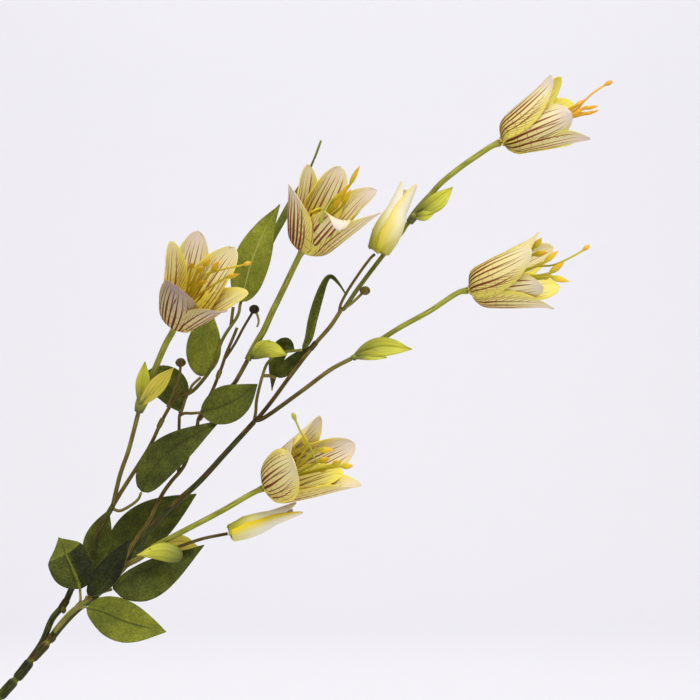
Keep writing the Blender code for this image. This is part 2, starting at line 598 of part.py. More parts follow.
def make_bud(number, bud, collection, material):
    """Three closed petals wrapped round a slim core."""
    place = bloom_place(bud["base"], bud["rise"], bud["forward"])
    length = bud["length"]
    radius = bud["radius"]

    def girth(t):
        return radius * (0.14 + 0.9 * abs(math.sin(math.pi * t ** 0.6)) ** 0.6 * (1 - 0.3 * t))

    stations = (0.02, 0.25, 0.6, 0.92)
    core = [point((0, 0, length * reach)) for reach in stations]
    pieces = [tube("core", core, [0.55 * girth(reach) + 0.4 for reach in stations], 6)]
    for index in range(3):
        turn = math.radians(bud["spin"] + 120 * index)

        def shape(u, t, turn=turn, layer=index * BUD_LAYER):
            out = girth(t) - layer * min(6 * t, 1.0)
            half = radius * 1.1 * abs(math.sin(math.pi * (0.06 + 0.94 * t ** 0.7))) ** 0.6 + 0.6
            bend = max(out * 1.05, half / 1.25)
            angle = u * half / bend
            spot = Vector((out - bend + bend * math.cos(angle), bend * math.sin(angle), length * t))
            return Matrix.Rotation(turn + 0.35 * t, 3, "Z") @ spot * MM

        pieces.append(sheet("petal", 2, 5, PETAL_THICKNESS, shape))
    body = fuse(f"bud_{number}", pieces)
    body.matrix_world = place
    keep(body, collection, material)


def make_bract(number, bract, collection, material):
    pieces = [ball("knob", point(bract["knob"]), [BRACT_KNOB_RADIUS] * 3, 6)]
    for blade in bract["blades"]:
        shape = blade_shape(**blade, widest=0.5, tip=1.1, fold=16, wave=0.3)
        pieces.append(sheet("blade", 3, 5, LEAF_THICKNESS, shape))
    keep(fuse(f"bract_{number}", pieces), collection, material)


def main():
    remove_all_objects()
    collection = bpy.data.collections.new("Fritillary stem in vase")
    bpy.context.scene.collection.children.link(collection)
    materials = {
        "petal": plain_material("Printed petal cloth", (0.78, 0.70, 0.42), 0.75),
        "anther": plain_material("Yellow stamen plastic", (0.80, 0.42, 0.02), 0.55),
        "pedicel": plain_material("Green covered wire", (0.25, 0.32, 0.06), 0.5),
    }
    make_vase(collection, plain_material("Glazed stoneware", (0.72, 0.70, 0.66), 0.25))
    make_stems(collection, plain_material("Brown covered wire", (0.09, 0.07, 0.03), 0.5))
    make_leaves(collection, plain_material("Green leaf cloth", (0.08, 0.16, 0.03), 0.6))
    for number, bloom in enumerate(BLOOMS, start=1):
        make_bloom(number, bloom, collection, materials)
    for number, bud in enumerate(BUDS, start=1):
        make_bud(number, bud, collection, materials["petal"])
    lime = plain_material("Lime leaf cloth", (0.45, 0.55, 0.06), 0.6)
    for number, bract in enumerate(BRACTS, start=1):
        make_bract(number, bract, collection, lime)


main()
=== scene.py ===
import math
import random

import bmesh
import bpy
from mathutils import Matrix, Vector, noise


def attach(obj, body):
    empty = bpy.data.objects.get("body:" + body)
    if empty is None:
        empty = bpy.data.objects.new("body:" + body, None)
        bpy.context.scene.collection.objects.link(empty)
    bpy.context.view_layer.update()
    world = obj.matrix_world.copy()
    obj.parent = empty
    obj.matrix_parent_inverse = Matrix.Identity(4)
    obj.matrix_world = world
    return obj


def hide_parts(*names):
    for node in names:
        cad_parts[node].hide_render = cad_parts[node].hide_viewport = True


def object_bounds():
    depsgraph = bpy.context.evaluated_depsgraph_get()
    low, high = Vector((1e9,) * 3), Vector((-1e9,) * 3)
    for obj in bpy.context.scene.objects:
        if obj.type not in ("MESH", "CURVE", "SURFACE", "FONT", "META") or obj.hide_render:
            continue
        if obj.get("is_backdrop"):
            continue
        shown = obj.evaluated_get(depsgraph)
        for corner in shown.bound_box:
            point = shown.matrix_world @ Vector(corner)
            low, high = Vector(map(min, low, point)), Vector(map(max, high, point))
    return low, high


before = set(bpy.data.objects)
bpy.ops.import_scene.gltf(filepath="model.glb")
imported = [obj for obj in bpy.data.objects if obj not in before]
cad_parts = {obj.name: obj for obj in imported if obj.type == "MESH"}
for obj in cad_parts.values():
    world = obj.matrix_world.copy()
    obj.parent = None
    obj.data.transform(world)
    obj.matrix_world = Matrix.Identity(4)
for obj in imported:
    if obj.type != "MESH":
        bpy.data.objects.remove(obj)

# Lengths in the tables are millimetres in the frame's own axes: +X right, +Y back, +Z up.
MM = 0.001
FRONT = Vector((0, -1, 0))
CAD_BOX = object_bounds()

VASE_HEIGHT = 200
VASE_BASE_RADIUS = 38
VASE_BELLY_RADIUS = 50
VASE_BELLY_HEIGHT = 82
VASE_NECK_RADIUS = 27
VASE_NECK_HEIGHT = 178
VASE_MOUTH_RADIUS = 30
VASE_WALL = 4.5
VASE_FLOOR = 9

LEAF_CLOTH = 0.4
PETAL_CLOTH = 0.45
RECEPTACLE_RADIUS = 3.2
RECEPTACLE_HALF_HEIGHT = 2.0
RECEPTACLE_LIFT = 0.4
FILAMENT_RADIUS = 0.75
BALL_RADIUS = 3.2
CURVE_PARTS = 8
TOUCH = 0.3

# Stems: first radius, last radius, then the points that the stem runs through.
STEMS = {
    "foot": (2.6, 2.6, [
        (-25.5, 0, 12.5), (-20, 0, 34), (-12, 0, 66), (2, 0, 120), (13.2, 0, 164), (21.4, 0, 196),
        (32.6, 0, 224), (46, 0, 247), (60, 0, 265), (72, 0, 278.5), (78.5, 0, 287)]),
    "right_shoot": (2.4, 1.5, [
        (78.5, 0, 287), (88, 0, 297), (96, 0, 307), (105.5, -1, 317), (116, -1, 325),
        (126, 0, 334), (136, 0, 345), (140, 0, 349.5), (148, 1, 363), (157, 1, 374),
        (169.5, 1, 385), (180.5, 0, 395), (196, -1, 412), (212.5, -2, 430)]),
    "sleeve": (1.6, 1.6, [
        (92.5, -3.5, 304), (100, -3.5, 313), (106, -4, 318.5), (110, -4, 321), (115, -3.5, 325.5)]),
    "left_shoot": (2.0, 1.6, [
        (75.5, 0, 283.5), (85, 2, 297.5), (91, 3, 311.5), (98, 4, 320), (102, 6, 328.5),
        (107.5, 9, 340.5), (115, 9, 354), (120, 6, 366.5), (127.5, 2, 379.5)]),
    "flower_3_stem": (1.3, 1.3, [
        (127.5, 2, 379.5), (132, -1, 398), (137, -4, 412), (141, -8, 426), (144.9, -11.9, 441.1)]),
    "leafy_shoot": (1.3, 1.0, [
        (127.5, 2, 379.5), (133.5, 4, 389.5), (145, 6, 407.5), (150.5, 7, 417), (156, 8, 429),
        (161.5, 9, 439), (166.5, 12, 446), (169, 12, 449)]),
    "ball_2_stalk": (0.8, 0.75, [
        (160, 9, 438.5), (162, 9, 443), (165, 10, 450), (167, 10, 456), (168, 10, 463.5)]),
    "long_petiole": (1.1, 0.8, [
        (168, 12, 445.5), (172, 12, 446.5), (176, 12, 449), (181.5, 11, 455), (185.5, 11, 460.5),
        (189, 12, 467), (191.5, 13, 475.5), (194.5, 15, 482), (198.5, 16, 488),
        (201.5, 18, 492.5), (203, 20.7, 496.5), (203.6, 23.2, 501), (207, 24.5, 509.5),
        (216.3, 26.2, 525)]),
    "stub": (0.9, 0.9, [(198, 16, 487.5), (199.5, 16, 499)]),
    "middle_twig": (0.9, 0.9, [(166.5, 13, 399), (167.5, 8.5, 411), (167.3, 4, 423), (167.5, 2, 433.5)]),
    "twig_to_front_leaf": (0.9, 0.8, [
        (167.5, 2, 433.5), (170.5, 1, 435), (175, -1, 435), (180.1, -4.2, 435.5)]),
    "twig_to_back_leaf": (0.8, 0.8, [
        (167.5, 2, 433.5), (169, 7, 437), (171, 13, 444), (173.5, 14.7, 449), (175, 15.3, 452),
        (179.8, 16.3, 456.5)]),
    "twig_to_low_leaf": (0.9, 0.8, [(167.5, 2, 433.5), (168, 8, 434), (167.1, 14.3, 435.6)]),
    "thin_twig": (0.9, 0.8, [
        (212.5, -2, 430.5), (213.5, -2, 436), (214, -1, 443), (216, 0, 452), (217.5, 1, 457.5),
        (219.5, 3, 463.5), (222.5, 5, 467.5), (227.5, 6, 471), (231.5, 5, 472), (236.5, 1, 472.5),
        (241.2, -4.6, 473.1)]),
    "short_twig": (1.0, 0.9, [(217.5, 1, 457.5), (221.5, 4, 457.5), (225, 7.7, 456.4)]),
    "middle_branch": (1.25, 1.25, [
        (212.5, -2, 430.5), (215.5, -2, 433), (223.5, -2, 443), (234.5, -3, 458), (248, -4, 475.5),
        (258, -5, 487), (265, -6, 497.5)]),
    "bud_1_stalk": (0.8, 0.8, [
        (263.5, -6, 495.5), (264.5, -7, 500.5), (269, -9, 509), (276, -12, 519.5),
        (282, -14, 527.5), (284.9, -14, 530.2)]),
    "upper_branch": (1.3, 1.3, [
        (265, -6, 497.5), (267, -5, 498.5), (274.5, -4, 509.5), (290, -3, 530), (301, -2, 543.5),
        (303.5, -2, 547.5), (307.3, -3, 551.6)]),
    "ball_3_stalk": (0.8, 0.8, [(266.5, -5.5, 498), (271, -6, 501), (278.2, -7.6, 507.7)]),
    "lower_branch": (1.2, 1.2, [
        (212.5, -2, 430.5), (219.5, -3, 433), (240.5, -5, 448), (258, -7, 461), (270.7, -8.9, 467.8)]),
    "back_shoot": (1.3, 0.9, [
        (136, 1, 345.5), (137.5, 7, 352.5), (141.5, 10, 359.5), (149, 12, 370.5),
        (156.5, 13, 385.5), (162, 13, 393.5), (170.5, 13, 404.5), (177.5, 13, 426),
        (179, 13, 432.5), (187, 12, 448.5), (191, 11, 458.5), (193, 10, 463.5), (195, 8, 469.5),
        (197.5, 8, 475.5), (200, 9, 481.5), (202, 9, 486.5)]),
    "ball_1_stalk": (0.75, 0.75, [
        (195, 8, 468), (199, 7, 474), (202, 6, 479), (206, 5, 486.5), (211.8, 5, 496.3)]),
    "ball_1_spur": (0.7, 0.6, [(213, 5, 497), (214.5, 3, 493.5), (215.2, 1, 490), (214.3, -1, 487)]),
    "flower_4_stem": (1.3, 1.3, [
        (179, 13, 431), (183, 12, 436), (188.5, 10, 441.5), (199.5, 6, 452), (203.5, 4, 458),
        (208.3, 2.1, 466.6)]),
    "low_stem": (1.7, 1.6, [(133, 0, 342), (136.5, -4, 344.5), (144, -9, 348.5), (150.7, -13.4, 353.8)]),
    "bud_2_stalk": (1.0, 0.9, [
        (149, -12, 352), (155.5, -12, 352.5), (164.5, -11, 354.5), (181, -11, 360),
        (192.5, -12, 362.5), (197, -12, 363.3)]),
    "petiole_1": (0.9, 0.8, [(106, -1, 319.5), (108.5, -4, 322.5), (108.5, -7, 329.5)]),
    "petiole_2": (0.9, 0.8, [(105, -2, 317), (109, -4.5, 318.8), (112, -6, 319.3)]),
    "petiole_3": (0.9, 0.8, [(110, -1.5, 321), (111.5, -4.5, 323), (112.5, -6.4, 325.7)]),
    "petiole_4": (0.9, 0.8, [(114, -1, 324), (122, -4, 328), (127.5, -5, 329.7)]),
    "petiole_5": (1.0, 0.9, [(122, 0, 331), (123, 6, 334.5), (124, 13, 338.5)]),
    "petiole_6": (1.0, 0.9, [(107, 9, 339.5), (111, 11, 338.5), (114.2, 12.7, 336.8)]),
    "petiole_7": (0.9, 0.8, [
        (128, 1, 377.5), (132, 0, 376.5), (138, -1, 379.5), (143, -2, 383.5), (144.8, -3.2, 387.6)]),
}
BALLS = [(212.5, 5, 497.5), (168, 10, 465.5), (279, -8, 508.5)]
# Collars where one covered wire is pushed into the next: stem, point, length.
COLLARS = [
    ("left_shoot", 3, 7), ("right_shoot", 4, 6),
    ("right_shoot", 7, 7), ("leafy_shoot", 4, 6), ("middle_branch", 4, 6), ("back_shoot", 10, 5),
]
COLLAR_EXTRA = 0.45

# Leaves: points along the rib, full widths left and right of it, where the leaf
# is widest, how pointed the tip is, roll, twist, fold at the rib, and edge wave.
LEAVES = [
    # Leaf 1's bend paints it lighter past the fold and darker on its right half before it: painted light and
    # painted shade.
    dict(rib=[(108.5, -7.5, 330.5), (106.6, -11, 337), (104.3, -13, 343), (102, -12.8, 348),
              (100.3, -8, 351), (98, 0, 355), (95, 8, 360)],
         left=13, right=12.5, widest=0.36, tip=1.0, roll=0, twist=0, fold=8, wave=0.5, ridge=0.7,
         bend=0.56),
    # Leaf 2 is painted lighter towards its tip: painted light.
    dict(rib=[(112.6, -6.5, 318.8), (123, -8, 316), (138, -9, 310), (160, -8, 304.5)],
         left=12.5, right=13, widest=0.42, tip=1.0, roll=0, twist=0, fold=10, wave=0.8, ridge=0.6, painted_tip_light=0.16),
    dict(rib=[(113, -6.6, 326.3), (120, -6.5, 333), (128.5, -6.5, 343.5), (137.5, -6, 359)],
         left=8, right=8, widest=0.42, tip=0.9, roll=12, twist=0, fold=20, wave=0.4),
    dict(rib=[(128, -5.5, 330), (137, -6, 336), (146.5, -6, 341), (162, -5, 348), (182.5, -2, 356)],
         left=4.5, right=18, widest=0.34, tip=1.0, roll=4, twist=0, fold=10, wave=0.8),
    dict(rib=[(124.2, 14, 339.3), (134.5, 21, 354), (149.5, 23, 367.5), (177, 20, 386)],
         left=15, right=13, widest=0.45, tip=1.0, roll=0, twist=0, fold=12, wave=0.8),
    dict(rib=[(115, 13.5, 337.8), (116.5, 14, 351), (119.5, 15, 363), (124.5, 14, 376.5)],
         left=8.5, right=8.5, widest=0.45, tip=1.0, roll=0, twist=0, fold=12, wave=0.4),
    dict(rib=[(167, 15, 436.4), (165, 18.5, 442), (161, 20.5, 450), (154, 20, 456), (145.5, 18, 458.5)],
         left=9.5, right=11.5, widest=0.5, tip=0.9, roll=0, twist=0, fold=10, wave=0.5),
    dict(rib=[(180.3, 16.8, 457.2), (181, 18, 467), (182.5, 18, 482), (185, 17, 500)],
         left=10.5, right=10.5, widest=0.38, tip=1.0, roll=0, twist=0, fold=10, wave=0.6),
    dict(rib=[(180.8, -4.5, 435.7), (191.5, -6, 438.5), (203, -6, 444), (214.5, -4, 452.5)],
         left=11.5, right=11.5, widest=0.42, tip=1.0, roll=0, twist=0, fold=14, wave=0.7),
    dict(rib=[(145, -3.5, 388.2), (154.5, -5, 405), (167.5, -5, 416), (192.5, -4, 431)],
         left=10.5, right=11.5, widest=0.36, tip=1.1, roll=0, twist=0, fold=16, wave=0.9),
    dict(rib=[(203.4, 21.4, 502.3), (206.5, 20.5, 512), (210.3, 20.5, 526), (218.5, 21, 546),
              (227.5, 19, 561)],
         left=11, right=11, widest=0.36, tip=1.1, roll=0, twist=0, fold=10, wave=0.9),
    dict(rib=[(216.8, 26.5, 526), (225.5, 27, 542.5), (233.5, 28, 557), (246.5, 28, 584),
              (252.5, 26, 600)],
         left=7.5, right=7.5, widest=0.36, tip=1.2, roll=76, twist=0, fold=14, wave=0.6),
    dict(rib=[(241.7, -5, 473.6), (245, -5, 480), (247.5, -6, 491), (251, -7, 503),
              (255, -8, 513.5), (258.5, -9, 517), (263, -11, 513), (268, -12, 505.5)],
         left=2.9, right=2.9, widest=0.3, tip=1.0, roll=-25, twist=50, fold=18, wave=0.3),
    dict(rib=[(226, 8.4, 456.9), (232.5, 8, 462), (240, 7, 469), (247.5, 5, 476)],
         left=4.8, right=4.6, widest=0.35, tip=1.0, roll=20, twist=0, fold=14, wave=0.4),
    dict(rib=[(236.2, 2.8, 473.8), (231, 9.5, 476.5), (227, 13, 472), (224, 14, 461), (223, 12, 448.5)],
         left=5.2, right=4.6, widest=0.36, tip=1.25, roll=0, twist=0, fold=14, wave=0.4),
]

# Blooms: base, lean of the axis in the front view from +X, turn of the axis to the front.
# Petals: turn round the axis, opening, length, width, 1 in the outer whorl, curl, fold of the tip,
# flush (1 lemon yellow up to the tip, -1 mauve with painted shade: a darker ground and veins on petals that face
# away from the light) and how bold the veins are printed.
# Stamens: foot and tip of each anther in the bloom's own frame; the style is a line in it too.
BLOOMS = [
    dict(base=(361.5, -6, 598), rise=25, forward=8,
         petals=[
             (8, 13, 53, 31, 0.6, 0.2, 0, 0, 0.9), (63, 14, 57, 25, 0, 0.4, 10, 0, 0.5),
             (140, 23, 48, 25, 0.4, 0.3, 0, 1, 0), (187, 22, 56, 25, 1, 0.3, 0, 1, 0),
             (231, 19, 56, 25, 0, 0.4, 0, 1, 0), (307, 19, 54, 29, 1, 0.5, 10, 0, 0.6)],
         pedicel=(1.5, 1.6, [
             (307.5, -3, 552), (317.5, -4, 565), (324, -4, 572.5), (333, -5, 580),
             (340.5, -5, 585.5)]),
         anthers=[
             ((4, -0.6, 46.9), (5, -1.4, 56.9)), ((-3, 0.3, 44.0), (-3, -1.7, 54.2)),
             ((0, 3.2, 52.1), (-1, 5.2, 60.7)), ((3, 5.9, 49.2), (5, 8.0, 60.3)),
             ((6, 3.5, 45.1), (7, 2.6, 55.6)), ((-5, 4.2, 42.5), (-5, 4.9, 51.8))],
         style=[(0, 1.9, 43.5), (1, -0.9, 54.1), (2, -2.9, 60.5), (2, -4.2, 69.4), (2, -4.4, 72.7)]),
    dict(base=(342, -14, 509), rise=15, forward=14,
         petals=[
             (-28, 19, 56, 29, 1, 0.3, 0, 0.2, 0.5), (28, 13, 54, 26, 0, 0.3, 0, 0.1, 0.5),
             (70, 15, 56, 27, 1, 0.4, 10, 0.1, 0.4), (155, 22, 58, 25, 0, 0.3, 0, 0.8, 0),
             (204, 20, 60, 25, 1, 0.3, 0, 0.3, 0.3), (290, 13, 59, 29, 0, 0.5, 10, 0.3, 0.4)],
         pedicel=(1.4, 1.5, [
             (271, -9, 468), (285, -10, 477), (300, -12, 486.5), (318, -13, 496.5)]),
         anthers=[
             ((3, -13.9, 44.0), (5, -18.7, 50.9)), ((-2, -10.4, 41.4), (-2, -9.6, 51.0)),
             ((5, -4.1, 48.0), (6, -8.7, 58.8)), ((2, 2.8, 48.8), (2, -1.2, 59.6)),
             ((6, 4.8, 49.7), (8, 10.7, 60.6)), ((-5, 4.5, 42.4), (-6, 4.0, 48.7))],
         style=[(0, -3.3, 37.4), (1, -1.4, 51.5), (2, -2.4, 61.0), (2, -4.7, 70.7), (2, -6.4, 75.1)]),
    dict(base=(167, -25, 489), rise=63, forward=38,
         petals=[
             (40, 28, 60, 27, 0, 0.6, 20, -0.7, 0.9), (102, 28, 51, 30, 1, 0.3, 0, 0.6, 0.3),
             (158, 21, 60, 30, 0, 0.4, 0, 0.25, 0.6), (202, 30, 57, 28, 1, 0.3, 0, -0.2, 0.6),
             (254, 18, 56, 27, 0, 0.7, 0, 0.4, 0.4), (345, 22, 59, 36, 1, 0.1, 0, -1, 1)],
         pedicel=(1.7, 1.8, [
             (145, -12, 441.5), (153, -16, 460), (160, -19, 476)]),
         anthers=[
             ((0, -6.0, 41.3), (3, -6.4, 48.2)), ((4, -1.8, 45.1), (8, 1.1, 53.3)),
             ((0, 5.5, 46.7), (1, 7.3, 56.8)), ((4, 14.5, 49.7), (6, 21.4, 59.1)),
             ((6, 2.6, 38.2), (8, 5.6, 45.5)), ((-6, 0.1, 42.3), (-7, 1.2, 49.2))],
         style=[(0, 2.4, 39.5), (0, 5.6, 45.4), (2, 12.1, 54.3), (3, 19.3, 62.1), (3, 23.0, 66.6)]),
    dict(base=(242.5, -18, 533.5), rise=60, forward=30,
         petals=[
             (22, 20, 62, 28, 0, 0.3, 150, 0, 1.2), (64, 20, 65, 28, 1, 0.4, 0, 0.1, 0.4),
             (124, 13, 60, 29, 0, 0.4, 15, -0.15, 0.4), (194, 14, 57, 28, 0, 0.3, 0, 0.1, 0.7),
             (244, 19, 53, 27, 1, 0.3, 0, 0.2, 0.5), (316, 27, 57, 34, 1, 0.3, 0, 0.1, 2.2)],
         pedicel=(1.9, 1.6, [
             (208.5, 2, 467), (211.5, 1, 473), (215.5, -1, 480), (218.5, -2, 485),
             (223.5, -4, 496), (228.5, -7, 506)]),
         anthers=[
             ((2, 3.8, 38.0), (2, 4.6, 53.7)), ((5, 7.5, 40.2), (6, 7.3, 54.0)),
             ((-3, 0.7, 33.4), (-3, 4.4, 46.6)), ((8, -2.6, 32.9), (13, -6.7, 30.2)),
             ((0, 5.2, 51.7), (0, 4.9, 67.2)), ((6, 3.6, 33.8), (7, 4.7, 45.8))],
         style=[(6, 0.5, 39.0), (15, 0.5, 44.5), (22, 0.5, 43.5), (25, 1.0, 39.5), (25, 1.5, 35.5)]),
    dict(base=(220, -20, 391.5), rise=25, forward=20,
         petals=[
             (-12, 33, 48, 39, 1, 0.1, 0, 0.3, 0.5), (98, 11, 62, 36, 1, 0.3, 0, 0.1, 0.6),
             (142, 12, 50, 22, 0, 0.3, 0, 1, 0.3), (182, 13, 62, 30, 1, 0.4, 0, -0.1, 0.8),
             (250, 19, 56, 36, 0.5, 0.3, 0, 0.1, 0.2), (289, 24, 39, 36, 0, 0.1, 0, 0.1, 1.3)],
         pedicel=(1.6, 1.5, [
             (151.5, -14, 354.4), (155, -14, 356.8), (174.5, -15, 367), (192.5, -17, 376.5),
             (204.5, -18, 383.5)]),
         anthers=[
             ((6, -11.4, 36.5), (8, -19.8, 39.0)), ((6, -7.0, 42.4), (8, -3.7, 51.9)),
             ((5, 4.3, 46.1), (8, 4.6, 53.6)), ((3, 7.0, 49.8), (4, 10.1, 57.5)),
             ((0, 4.1, 34.6), (0, 5.1, 42.3)), ((-6, -0.5, 34.5), (-7, 0.3, 42.1))],
         style=[
             (8, -0.5, 36.3), (12, -4.8, 40.3), (14, -12.3, 41.5), (14, -21.1, 40.3), (14, -27.9, 40.4),
             (14, -31.8, 40.6)]),
]

# Closed buds: base, lean and forward turn of the axis, length, greatest radius.
BUDS = [
    dict(base=(286, -14, 531), rise=65, forward=4, spin=20, length=46, radius=9, flush=0.85),
    dict(base=(197.5, -12, 363.5), rise=20, forward=2, spin=-30, length=45, radius=7.1, flush=1.5),
]

# Petals of a bud: turn, how far inside the others, how far the tip spreads, share of the length.
BUD_PETALS = [(50, 0.0, 0.5, 1.0), (-66, 0.9, 1.5, 0.96), (172, 1.5, -0.5, 0.88)]

# Bracts: where they hold the stem, and the leaf-like blades that they are made of.
BRACTS = [
    dict(knob=(308, -6.6, 553.2), blades=[
        dict(rib=[(309, -6.6, 554), (319, -8, 560.5), (331.5, -7, 570.5)], left=4.2, right=6.2),
        dict(rib=[(308, -6.8, 553), (314, -8.4, 552.8), (320.5, -9, 555)], left=3.2, right=2.6)],
         sheath=[(305.5, -3.4, 549.5), (309, -4, 554), (315.5, -4.4, 561.5), (319, -4.6, 565.5)], flare=1.0,
         sheath_shade=0.2),
    dict(knob=(272.5, -13, 468.6), blades=[
        dict(rib=[(271, -13, 467.8), (286.5, -14.5, 474.5), (307, -13, 473.5)], left=6, right=5.5),
        dict(rib=[(272, -13, 468.5), (282, -15, 470), (292, -16, 468.5)], left=3, right=3)]),
    dict(knob=(145.2, -15.7, 442), blades=[
        dict(rib=[(144.6, -15.6, 440), (146.5, -17.5, 450.5), (147.8, -17, 466)], left=4.4, right=4.2),
        dict(rib=[(145, -15.8, 440), (154, -19, 450.5), (165, -19, 462.5)], left=5, right=5)],
         sheath=[(143.7, -12.6, 436), (145.5, -13.2, 441.5), (148.6, -14.4, 448.5)], flare=1.7, sheath_shade=0.7),
    dict(knob=(212.4, -2.6, 470.5), blades=[
        dict(rib=[(210.5, -2.6, 467.5), (220.5, -7, 474), (232.3, -7.5, 470)], left=4.4, right=5.6, bow=2.5),
        dict(rib=[(211, -2.8, 468), (216, -5, 475), (222, -6, 479)], left=3, right=3)]),
    dict(knob=(151.5, -17.8, 353.3), blades=[
        dict(rib=[(170.5, -18.5, 349.3), (158, -20, 352.8), (142.8, -19, 350.7)], left=5.4, right=5.6,
             widest=0.34, bow=2.5),
        dict(rib=[(158, -8, 355.5), (168, -7, 358), (178.6, -7, 355.6)], left=4.4, right=4.8)]),
]
BRACT_KNOB_RADIUS = 1.7

# How light each covered wire is at its foot and at its end: 0 is dark, 1 is pale.
GREENS = {
    "foot": (0.12, 0.12), "right_shoot": (0.15, 0.2), "sleeve": (0.5, 0.5), "left_shoot": (0.12, 0.25),
    "flower_3_stem": (0.3, 0.5), "leafy_shoot": (0.3, 0.3), "ball_2_stalk": (0.35, 0.35),
    "long_petiole": (0.3, 0.5), "stub": (0.3, 0.3), "middle_twig": (0.15, 0.3),
    "twig_to_front_leaf": (0.2, 0.4), "twig_to_back_leaf": (0.3, 0.5), "twig_to_low_leaf": (0.3, 0.5),
    "thin_twig": (0.25, 0.6), "short_twig": (0.4, 0.5), "middle_branch": (0.08, 0.45),
    "bud_1_stalk": (0.35, 0.3), "upper_branch": (0.45, 0.6), "ball_3_stalk": (0.5, 0.45),
    "lower_branch": (0.12, 0.45), "back_shoot": (0.3, 0.25), "ball_1_stalk": (0.25, 0.15),
    "ball_1_spur": (0.5, 0.5), "flower_4_stem": (0.15, 0.35), "low_stem": (0.35, 0.5),
    "bud_2_stalk": (0.25, 0.15), "petiole_1": (0.5, 0.6), "petiole_2": (0.5, 0.6),
    "petiole_3": (0.4, 0.5), "petiole_4": (0.4, 0.5), "petiole_5": (0.3, 0.4),
    "petiole_6": (0.3, 0.4), "petiole_7": (0.35, 0.45),
}
# How green the wires are, where it isn't 0.2: 0 is brown all over, 1 is green all over.
FRESHNESS = {
    "foot": 0.85, "right_shoot": 0.55, "sleeve": 0.5, "left_shoot": 0.7, "flower_3_stem": 0.5,
    "long_petiole": 0.45, "upper_branch": 0.7, "lower_branch": 0.35, "thin_twig": 0.45,
    "petiole_1": 0.35, "petiole_2": 0.35, "petiole_3": 0.35, "petiole_4": 0.35, "petiole_7": 0.4,
}
BALL_GREENS = [-0.05, 0.25, 0.3]
# Leaf colours, in the order of the leaves: 0 is the darkest upper side, 1 the pale underside. The darkest values
# also hold painted shade, on leaves that face away from the light, such as leaf 3.
LEAF_TONES_AND_SHADE = [0.27, 0.62, 0.04, 0.37, 0.38, 0.4, 0.42, 0.69, 0.44, 0.34, 0.74, 0.6, 0.45, 0.28, 0.4]
# Stamen colours by bloom: 0 is green with yellow tips, 1 is orange all over.
STAMEN_WARMTH = [1.0, 0.1, 0.4, 0.12, 0.15]
# The same for the styles; -1 is olive green all over.
STYLE_WARMTH = [1.0, 0.1, 0.4, -1.0, -0.9]
ANTHER_GIRTH = [0.6, 1.0, 0.95, 0.85, 1.0]
BRACT_WARMTH = [(0.1, 0.1), (0.1, 0.1), (0.1, 0.75), (0.0, 0.0), (0.2, 1.6)]
# Pinches between the swollen joints of the foot of the stem, every so many millimetres.
JOINT_PITCH = 14.9
# How far the joints reach, in millimetres: back from the end of the foot, on from the shoot's start.
JOINTED = {"foot": 400, "right_shoot": 19}


def point(place):
    return Vector(place) * MM


def linear(code):
    """A colour written as sRGB hex, made linear for a shader."""
    parts = [int(code[index:index + 2], 16) / 255 for index in (1, 3, 5)]
    return (*[part / 12.92 if part <= 0.04045 else ((part + 0.055) / 1.055) ** 2.4 for part in parts], 1)


def add(tree, kind, inputs=None, output=0, stops=None, **settings):
    """Adds a shader node; each input is a plain value or another node's output."""
    made = tree.nodes.new("ShaderNode" + kind)
    for name, value in settings.items():
        setattr(made, name, value)
    pairs = enumerate(inputs) if isinstance(inputs, (list, tuple)) else (inputs or {}).items()
    for name, value in pairs:
        if isinstance(value, bpy.types.NodeSocket):
            tree.links.new(value, made.inputs[name])
        elif value is not None:
            made.inputs[name].default_value = value
    if stops:
        ramp = made.color_ramp.elements
        while len(ramp) < len(stops):
            ramp.new(1.0)
        for element, (place, code) in zip(ramp, stops):
            element.position = place
            element.color = linear(code)
    return made.outputs[output]


def new_material(name, colour, roughness, **constants):
    """A material whose shader has its plain values on its own sockets."""
    material = bpy.data.materials.new(name)
    material.use_nodes = True
    shader = material.node_tree.nodes["Principled BSDF"]
    shader.inputs["Base Color"].default_value = linear(colour)
    shader.inputs["Roughness"].default_value = roughness
    for socket, value in constants.items():
        shader.inputs[socket.replace("_", " ")].default_value = value
    return material, material.node_tree, shader


def attribute(tree, name):
    return add(tree, "Attribute", output=2, attribute_name=name)


